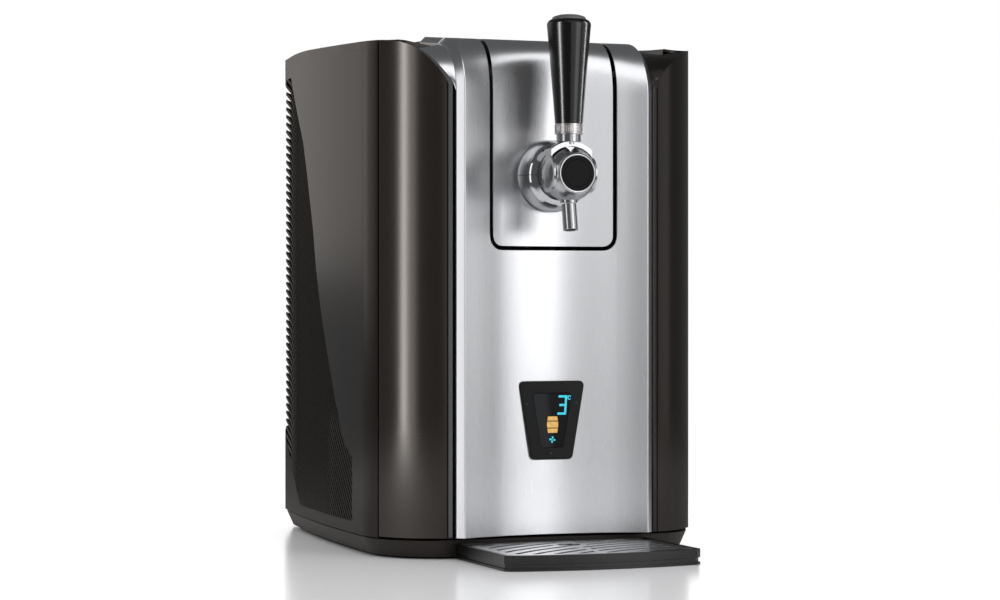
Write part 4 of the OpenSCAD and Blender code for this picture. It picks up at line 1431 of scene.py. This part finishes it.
    def flare(self, side: Side) -> None:
        """The bevel that spreads from the steel's bend over the cheek's shoulder.

        Args:
            side: the side; the steel's own finish goes on only at the left.
        """
        bend, y0 = 42.0, -92.0
        rings = []
        for k in range(17):
            t = 1.52 * k / 16
            x = FRONT.half_w + 2.3 + 27.0 * (k / 16) ** 1.3
            near = Vector((FRONT.half_w, y0 - bend * math.cos(t),
                           FRONT.arc_z + bend * math.sin(t)))
            far = Vector((x, CASING.plan_y(x) + 0.3, CASING.shoulder(x) + 0.15))
            rings.append([(side * p.x, p.y, p.z) for p in
                          (near.lerp(far, j / 6) for j in range(7))])
        b = Builder(f"{side.label}_steel_flare")
        b.skin(rings)
        obj = b.object(towards=AHEAD)
        solidify(obj, 0.8, False)
        settle(obj, STEEL if side is Side.LEFT else BROWN, Body.DOOR)

    def bosses(self) -> None:
        """The blocks on the left cheek that turn on the hinge pins."""
        height = 11.0
        ring = circle(-132.5, -95.0, 6.0, 32)
        arm = [(-129.5, -98.5), (-136.0, -92.5), (-143.2, -92.5), (-139.0, -99.5),
               (-135.5, -104.5)]
        b = Builder("cheek_bosses")
        for low in self.hinge_levels:
            for outline in (ring, arm):
                b.skin([[(x, y, z) for x, y in outline] for z in (low, low + height)],
                       True, True)
        settle(b.object(), BROWN, Body.DOOR)

    def display(self) -> None:
        """The display's black surround, its glass and the lit symbols."""
        face, back, inset = self.surround_y, -113.0, 0.3
        obj = prism("display_surround", window((30.4, 149.4), (18.8, 82.0), 5.0), face, back)
        pocket = window((17.6, 138.8), (9.8, 92.5), 3.0)
        hollow = window((26.0, 144.0), (15.0, 88.0), 3.0)
        cut(obj, prism("pocket", pocket, face - 2, face + 1.5),
            prism("hollow", hollow, face + 3.5, back + 3))
        soften(obj, 0.7, 3, 30)
        settle(obj, BEZEL, Body.DOOR, "display_bezel")
        glass = prism("display_glass", window((17.5, 138.7), (9.9, 92.6), 2.9), face + inset,
                      face + 1.5)
        settle(glass, SCREEN, Body.DOOR, "display_screen")
        Symbols(face + inset).build()
        for k, (x, z) in enumerate(((-23.0, 130.0), (22.7, 130.2), (-0.9, 87.8))):
            settle(prism(f"touch_mark_{k}", rectangle(x, z, 1.1, 0.35), face - 0.08, face + 0.2),
                   MARK, Body.DOOR)


@dataclass
class Symbols:
    """The display's lit symbols: a figure, a ring, a barrel and a small fan."""

    glass_y: float
    proud: float = 0.12
    sunk: float = 0.05
    figure_at: Flat = (5.6, 120.4)
    figure_size: Flat = (8.0, 16.6)
    stroke: float = 1.9
    lean: float = 1.2
    ring_at: Flat = (16.2, 135.0)
    barrel_x: float = 0.6
    fan_at: Flat = (0.4, 99.2)

    def plate(self, name: str, outline: Sequence[Flat], proud: float = 0.0) -> bpy.types.Object:
        """Args: name, outline, how far it stands proud. Returns: a thin plate on the glass."""
        return prism(name, outline, self.glass_y - (proud or self.proud),
                     self.glass_y + self.sunk)

    def build(self) -> None:
        """Makes every symbol."""
        self.figure()
        ring = self.plate("symbol_ring", circle(*self.ring_at, 1.9, 24))
        cut(ring, prism("ring_hole", circle(*self.ring_at, 1.0, 24), self.glass_y - 1,
                        self.glass_y + 1))
        settle(ring, CYAN, Body.DOOR)
        half = [(4.2, 105.0), (4.9, 109.0), (5.2, 112.0), (4.9, 115.0), (4.2, 119.0)]
        barrel = [(self.barrel_x + x, z) for x, z in
                  [(-4.2, 105.0)] + half + [(-x, z) for x, z in reversed(half[1:])]]
        settle(self.plate("symbol_barrel", barrel), AMBER, Body.DOOR)
        for k, z in enumerate((108.6, 114.6)):
            band = rectangle(self.barrel_x, z + 0.45, 5.0, 0.45)
            settle(self.plate(f"symbol_band_{k}", band, 0.16), AMBER_DARK, Body.DOOR)
        blade = prism("blade", [(0.0, 0.3), (1.1, 1.0), (0.9, 2.8), (-0.6, 2.6)], -0.06, 0.06)
        hub = (self.fan_at[0], self.glass_y - 0.06, self.fan_at[1])
        fan = Repeat("symbol_fan", blade, CYAN).at(
            [(hub, (0.0, k * math.pi / 2, 0.0), ONE) for k in range(4)])
        settle(fan, CYAN, Body.DOOR)

    def figure(self) -> None:
        """A plain figure three, made of straight strokes."""
        (x, z), (w, h) = self.figure_at, self.figure_size
        a, c = self.stroke / w, self.stroke / h
        outline = [(0, 0), (1, 0), (1, 1), (0, 1), (0, 1 - c), (1 - a, 1 - c),
                   (1 - a, 0.5 + c / 2), (0.16, 0.5 + c / 2), (0.16, 0.5 - c / 2),
                   (1 - a, 0.5 - c / 2), (1 - a, c), (0, c)]
        settle(self.plate("symbol_figure", [(x + u * w + (v - 0.5) * self.lean, z + v * h)
                                            for u, v in outline]), CYAN, Body.DOOR)


@dataclass
class Lid:
    """The lift-up lid that carries the tap."""

    half_w: float = 55.0
    low: float = 264.5
    corner_r: float = 8.5
    rear_y: float = -44.0
    fold: float = 11.0

    def foot(self, x: float) -> float:
        """Args: x. Returns: height of the lid's lower edge there."""
        r = self.corner_r
        reach = max(abs(x) - (self.half_w - r), 0.0)
        return self.low + r - math.sqrt(max(r * r - reach * reach, 0.0))

    def column(self, x: float, sink: float) -> list[Point]:
        """One line of the sheet, up the face, round the bend and along the top.

        Args:
            x: the line.
            sink: its depth behind the surface.
        Returns:
            its points.
        """
        foot = self.foot(x)
        rows = [FRONT.at_height(x, foot + (FRONT.arc_z - foot) * k / 14, sink)
                for k in range(15)]
        rows += [FRONT.on_arc(x, k / FRONT.arc, sink) for k in range(1, FRONT.arc + 1)]
        return rows + [FRONT.on_top(x, y, sink) for y in (-80.0, -68.0, -56.0, self.rear_y)]

    def build(self) -> None:
        """Makes the lid's steel sheet with its folded edges."""
        r = self.corner_r
        half = [0.0, 7.0, 14.0, 21.0, 28.0, 35.0, 41.0]
        half += [self.half_w - r + r * math.sin(math.pi / 2 * k / 6) for k in range(7)]
        xs = [-x for x in reversed(half[1:])] + half
        b = Builder("tap_lid_steel")
        grid = b.skin([self.column(x, 0.0) for x in xs])
        folded = [self.column(x, self.fold) for x in xs]
        # the folded edge: left column down, bottom row across, right column up
        last, top = len(grid) - 1, len(grid[0]) - 1
        path = ([(0, j) for j in range(top, -1, -1)] + [(i, 0) for i in range(1, last + 1)]
                + [(last, j) for j in range(1, top + 1)])
        outer = [grid[i][j] for i, j in path]
        inner = b.verts([folded[i][j] for i, j in path])
        for k in range(len(path) - 1):
            b.face(outer[k], outer[k + 1], inner[k + 1], inner[k])
        obj = b.object(0.01)
        face_to(obj.data, AHEAD)
        solidify(obj, 1.8)
        soften(obj, 0.7, 3, 30)
        settle(obj, STEEL, Body.LID, "lid_skin", smooth=26)


@dataclass
class Tap:
    """Flange, body, spout, badge, lever and handle."""

    axis_z: float = 324.5
    flange_r: float = 31.0
    ball_y: float = -181.0
    badge_r: float = 14.7
    pivot_y: float = -164.5
    collar_z: Flat = (358.0, 367.0)
    collar_r: float = 12.1
    ribs: int = 44
    grip_top: float = 450.0
    cap_z: float = 452.5

    def build(self) -> None:
        """Makes every piece."""
        self.flange()
        refined("tap_body", SATIN, Body.LID, 0.35, 28)
        self.badge()
        refined("spout", SATIN, Body.LID, 0.3, 30)
        refined("lever_saddle", SATIN, Body.LEVER, 0.4, 28)
        self.collar()
        self.handle()

    def flange(self) -> None:
        """The dome on the lid, with its split line and two small holes."""
        y, rim, neck, bore = FRONT.face_y(self.flange_r), 2.5, 21.6, 12.1
        arc = [(neck + 9.4 * math.cos(t), rim + 17.0 * math.sin(t))
               for t in [math.pi / 2 * k / 18 for k in range(1, 16)]]
        dome = turned("tap_flange_dome",
                      [(bore, 0.0), (self.flange_r, 0.0), (self.flange_r, rim)] + arc
                      + [(neck, 20.5), (bore, 20.5)], (0, y, self.axis_z), Axis.FORWARD, 128)
        soften(dome, 0.3, 2, 40)
        settle(dome, CHROME, Body.LID, "tap_flange", smooth=24)
        section = [(-0.1, -0.22), (0.06, -0.22), (0.06, 0.22), (-0.1, 0.22)]
        line = Builder("flange_split")
        line.skin([[(-(r + d), y - h, self.axis_z + v) for d, v in section]
                   for r, h in [(self.flange_r, 0.6), (self.flange_r, 2.4)] + arc], True, True)
        settle(line.object(), BEZEL, Body.LID)
        # each hole is a small black disc, painted shade for its dark inside
        for k, (turn, r, h) in enumerate(((math.pi, 22.0, 19.3), (2.2, 25.5, 17.5))):
            spot = turned(f"flange_hole_{k}", [(0.0, 0.0), (0.8, 0.0), (0.8, 1.0), (0.0, 1.0)],
                          (r * math.cos(turn), y - h, self.axis_z + r * math.sin(turn)),
                          Axis.FORWARD, 20, False)
            settle(spot, BEZEL, Body.LID)

    def badge(self) -> None:
        """The plain black disc in its rim, with one ring pressed into it."""
        middle = (0, self.ball_y, self.axis_z)
        rim = turned("badge_rim", [(14.8, 0.0), (16.6, 0.0), (17.4, 0.6), (17.5, 1.2),
                                   (17.1, 2.1), (16.3, 2.7), (15.6, 2.9), (14.8, 2.6)],
                     middle, Axis.FORWARD)
        settle(rim, SATIN, Body.LID, "badge_ring", smooth=40)
        r, top = self.badge_r, 2.5
        disc = turned("badge_disc", [(0.0, 0.0), (r, 0.0), (r, 2.1), (14.2, top), (11.9, top),
                                     (11.7, 2.3), (11.3, 2.3), (11.1, top), (0.0, top)],
                      middle, Axis.FORWARD, closed=False)
        settle(disc, BADGE, Body.LID, "tap_badge", smooth=30)

    def collar(self) -> None:
        """The knurled collar under the grip."""
        base, (low, high), r = (0.0, self.pivot_y, 0.0), self.collar_z, self.collar_r
        core = turned("handle_collar",
                      [(0.0, low), (r - 0.4, low), (r, low + 0.4), (r, low + 1.4),
                       (r - 0.5, low + 1.8), (r - 0.5, high - 1.8), (r, high - 1.4),
                       (r, high - 0.4), (r - 0.4, high), (0.0, high)], base, closed=False)
        settle(core, COLLAR, Body.LEVER, "handle_ferrule", smooth=40)
        section = [(0.0, -0.42), (0.62, -0.16), (0.62, 0.16), (0.0, 0.42)]
        rib = Builder("rib")
        rib.skin([[(x, y, z) for x, y in section] for z in (-2.5, 2.5)], True, True)
        places = [((x, y, (low + high) / 2), (0.0, 0.0, 2 * math.pi * k / self.ribs), ONE)
                  for k, (x, y) in enumerate(circle(0.0, self.pivot_y, r - 0.6, self.ribs))]
        settle(Repeat("collar_knurl", rib.object(), COLLAR).at(places), COLLAR, Body.LEVER)

    def handle(self) -> None:
        """The grip, wider upwards, and the cap on its end."""
        base, foot = (0.0, self.pivot_y, 0.0), self.collar_z[1]
        taper = [(11.8 + 6.8 * (0.9 * u + 0.1 * u * u), foot + (self.grip_top - foot) * u)
                 for u in [k / 28 for k in range(29)]]
        grip = turned("handle_grip_body", [(0.0, foot), (11.2, foot)] + taper
                      + [(18.4, 451.4), (17.8, 452.6), (16.7, 453.8), (15.4, 454.5),
                         (14.8, 454.6), (14.5, 454.0), (14.5, self.cap_z), (0.0, self.cap_z)],
                      base, steps=128, closed=False)
        settle(grip, GLOSS, Body.LEVER, "handle_grip", smooth=40)
        cap = turned("handle_end_cap",
                     [(0.0, self.cap_z), (14.4, self.cap_z), (14.4, 455.2), (13.9, 456.4),
                      (12.6, 457.3), (8.5, 458.5), (0.0, 459.0)], base, closed=False)
        settle(cap, CAP, Body.LEVER, "handle_cap", smooth=40)


@dataclass
class Tray:
    """Drip tray and its grid, with the widths of their soft edges."""

    tray_edge: float = 0.6
    grid_edge: float = 0.25

    def build(self) -> None:
        """Makes both pieces."""
        refined("drip_tray", BLACK, Body.TRAY, self.tray_edge, 24)
        refined("drip_grid", STEEL, Body.GRID, self.grid_edge, 30)


@dataclass
class Lamp:
    """An area lamp, in metres and watts."""

    name: str
    place: Point
    aim: Point
    size: Flat
    power: float
    only: Sequence[str] = ()
    colour: Point = ONE

    def hang(self) -> None:
        """Makes the lamp, for all objects or only for those that it names."""
        data = bpy.data.lights.new(self.name, "AREA")
        data.shape = "RECTANGLE"
        data.size, data.size_y = self.size
        data.energy = self.power
        data.color = self.colour
        obj = linked(self.name, data)
        obj.location = self.place
        way = Vector(self.aim) - Vector(self.place)
        obj.rotation_euler = way.to_track_quat("-Z", "Y").to_euler()
        obj.visible_camera = False
        if self.only:
            group = bpy.data.collections.new(f"{self.name}_receivers")
            for name in self.only:
                group.objects.link(bpy.data.objects[name])
            obj.light_linking.receiver_collection = group


@dataclass
class Studio:
    """Floor, lamps and camera, in metres."""

    steel: tuple = ("steel_front", "tap_lid_steel", "left_top_trim_looks",
                    "right_top_trim_looks", "left_steel_flare")
    middle: Point = (0.0, -0.12, 0.25)
    left: Point = (-0.13, -0.11, 0.25)
    top: Point = (0.0, -0.1, 0.44)
    warm: Point = (1.0, 0.93, 0.86)
    lens: float = 97.56
    camera_at: Point = (-0.86833, -2.27564, 0.2203)
    camera_way: Point = (0.35674, 0.93420, 0.0)

    def build(self) -> None:
        """Sets everything up."""
        self.floor()
        self.world()
        for lamp in self.lamps():
            lamp.hang()
        self.camera()

    def lamps(self) -> list[Lamp]:
        """Lists the lamps; some light one finish or piece only.

        Returns:
            the lamps.
        """
        middle, left, top, steel = self.middle, self.left, self.top, self.steel
        cheek, grip, floor = ("left_cheek",), ("handle_grip_body",), ("studio_floor",)
        return [
            Lamp("overhead", (0.1, -1.45, 1.85), top, (2.6, 1.1), 4.0),
            Lamp("steel_overhead", (0.1, -1.40, 1.80), top, (2.6, 1.1), 10.5, steel),
            Lamp("front_softbox", (1.15, -2.05, 0.75), middle, (1.0, 1.7), 11.0),
            Lamp("front_wide", (0.30, -2.35, 0.75), middle, (1.5, 1.7), 6.2),
            Lamp("right_wide", (1.95, -1.15, 0.75), middle, (0.9, 1.7), 3.0),
            Lamp("steel_right", (2.05, -1.15, 0.75), middle, (0.8, 1.7), 1.4, steel),
            Lamp("steel_left", (-0.50, -2.35, 0.75), middle, (1.1, 1.7), 2.2, steel),
            Lamp("cheek_strip", (-2.01, -0.795, 0.6), left, (0.30, 1.9), 28.0, cheek),
            Lamp("cheek_wide", (-1.74, -1.117, 0.6), left, (0.5, 1.9), 9.0, cheek),
            Lamp("left_strip", (-2.05, -0.76, 0.6), left, (0.60, 1.9), 6.4),
            Lamp("grip_left", (-1.90, -0.70, 0.6), left, (0.34, 1.9), 30.0, grip),
            Lamp("grip_right", (1.95, -0.45, 0.6), middle, (0.16, 1.9), 18.0, grip),
            Lamp("left_rear", (-1.7, 1.55, 0.9), (-0.15, -0.05, 0.3), (1.3, 1.5), 2.8,
                 colour=self.warm),
            Lamp("rear_left", (-1.09, 2.68, 0.95), (-0.15, 0.1, 0.3), (2.2, 1.4), 3.6,
                 colour=self.warm),
            Lamp("floor_top", (0.0, -0.2, 2.4), STILL, (3.4, 3.4), 79.0, floor),
            Lamp("floor_light", (0.0, 4.2, 1.5), STILL, (9.0, 3.0), 115.0, floor),
        ]

    def floor(self) -> None:
        """Makes the floor."""
        half_w, front, rear = 4000.0, -3000.0, 3500.0
        b = Builder("studio_floor")
        b.skin([[(-half_w, y, 0.0), (half_w, y, 0.0)] for y in (front, 0.0, rear)])
        obj = b.object(towards=(0.0, 0.0, 1.0))
        obj.data.materials.append(FloorFinish("studio_white").material())
        for p in obj.data.polygons:
            p.use_smooth = True

    def world(self) -> None:
        """White to the camera, dim to everything else."""
        world = bpy.data.worlds.new("surroundings")
        bpy.context.scene.world = world
        world.use_nodes = True
        nodes = Nodes(world.node_tree)
        dim, white = (nodes.node("ShaderNodeBackground", None, {"Color": c, "Strength": v})
                      for c, v in (((0.95, 0.97, 1.0, 1.0), 0.13), ((1.0, 1.0, 1.0, 1.0), 1.0)))
        seen = nodes.node("ShaderNodeLightPath", output="Is Camera Ray")
        mix = nodes.node("ShaderNodeMixShader", None, {0: seen, 1: dim, 2: white})
        nodes.make("ShaderNodeOutputWorld", None, {"Surface": mix})

    def camera(self) -> None:
        """Sets the photo's view."""
        data = bpy.data.cameras.new("view")
        data.sensor_width = 36.0
        data.lens = self.lens
        data.shift_y = -0.002
        data.clip_start, data.clip_end = 0.1, 50.0
        obj = linked("view", data)
        obj.location = self.camera_at
        obj.rotation_euler = Vector(self.camera_way).to_track_quat("-Z", "Y").to_euler()
        bpy.context.scene.camera = obj


def carry_over() -> None:
    """Gives the CAD nodes that are shown as they are their finishes."""
    for finish, names in CARRIED_OVER.items():
        for name in names.split():
            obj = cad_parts[name]
            obj.data.materials.clear()
            obj.data.materials.append(finish.material())
            LOG.info("%s: carried over", name)


def main() -> None:
    """Builds the whole picture."""
    logging.basicConfig(level=logging.INFO, format="%(name)s: %(message)s")
    bpy.context.scene.view_settings.view_transform = "Standard"
    for part in (Cabinet(), Door(), Lid(), Tap(), Tray()):
        part.build()
    carry_over()
    Studio().build()


if __name__ == "__main__":
    main()
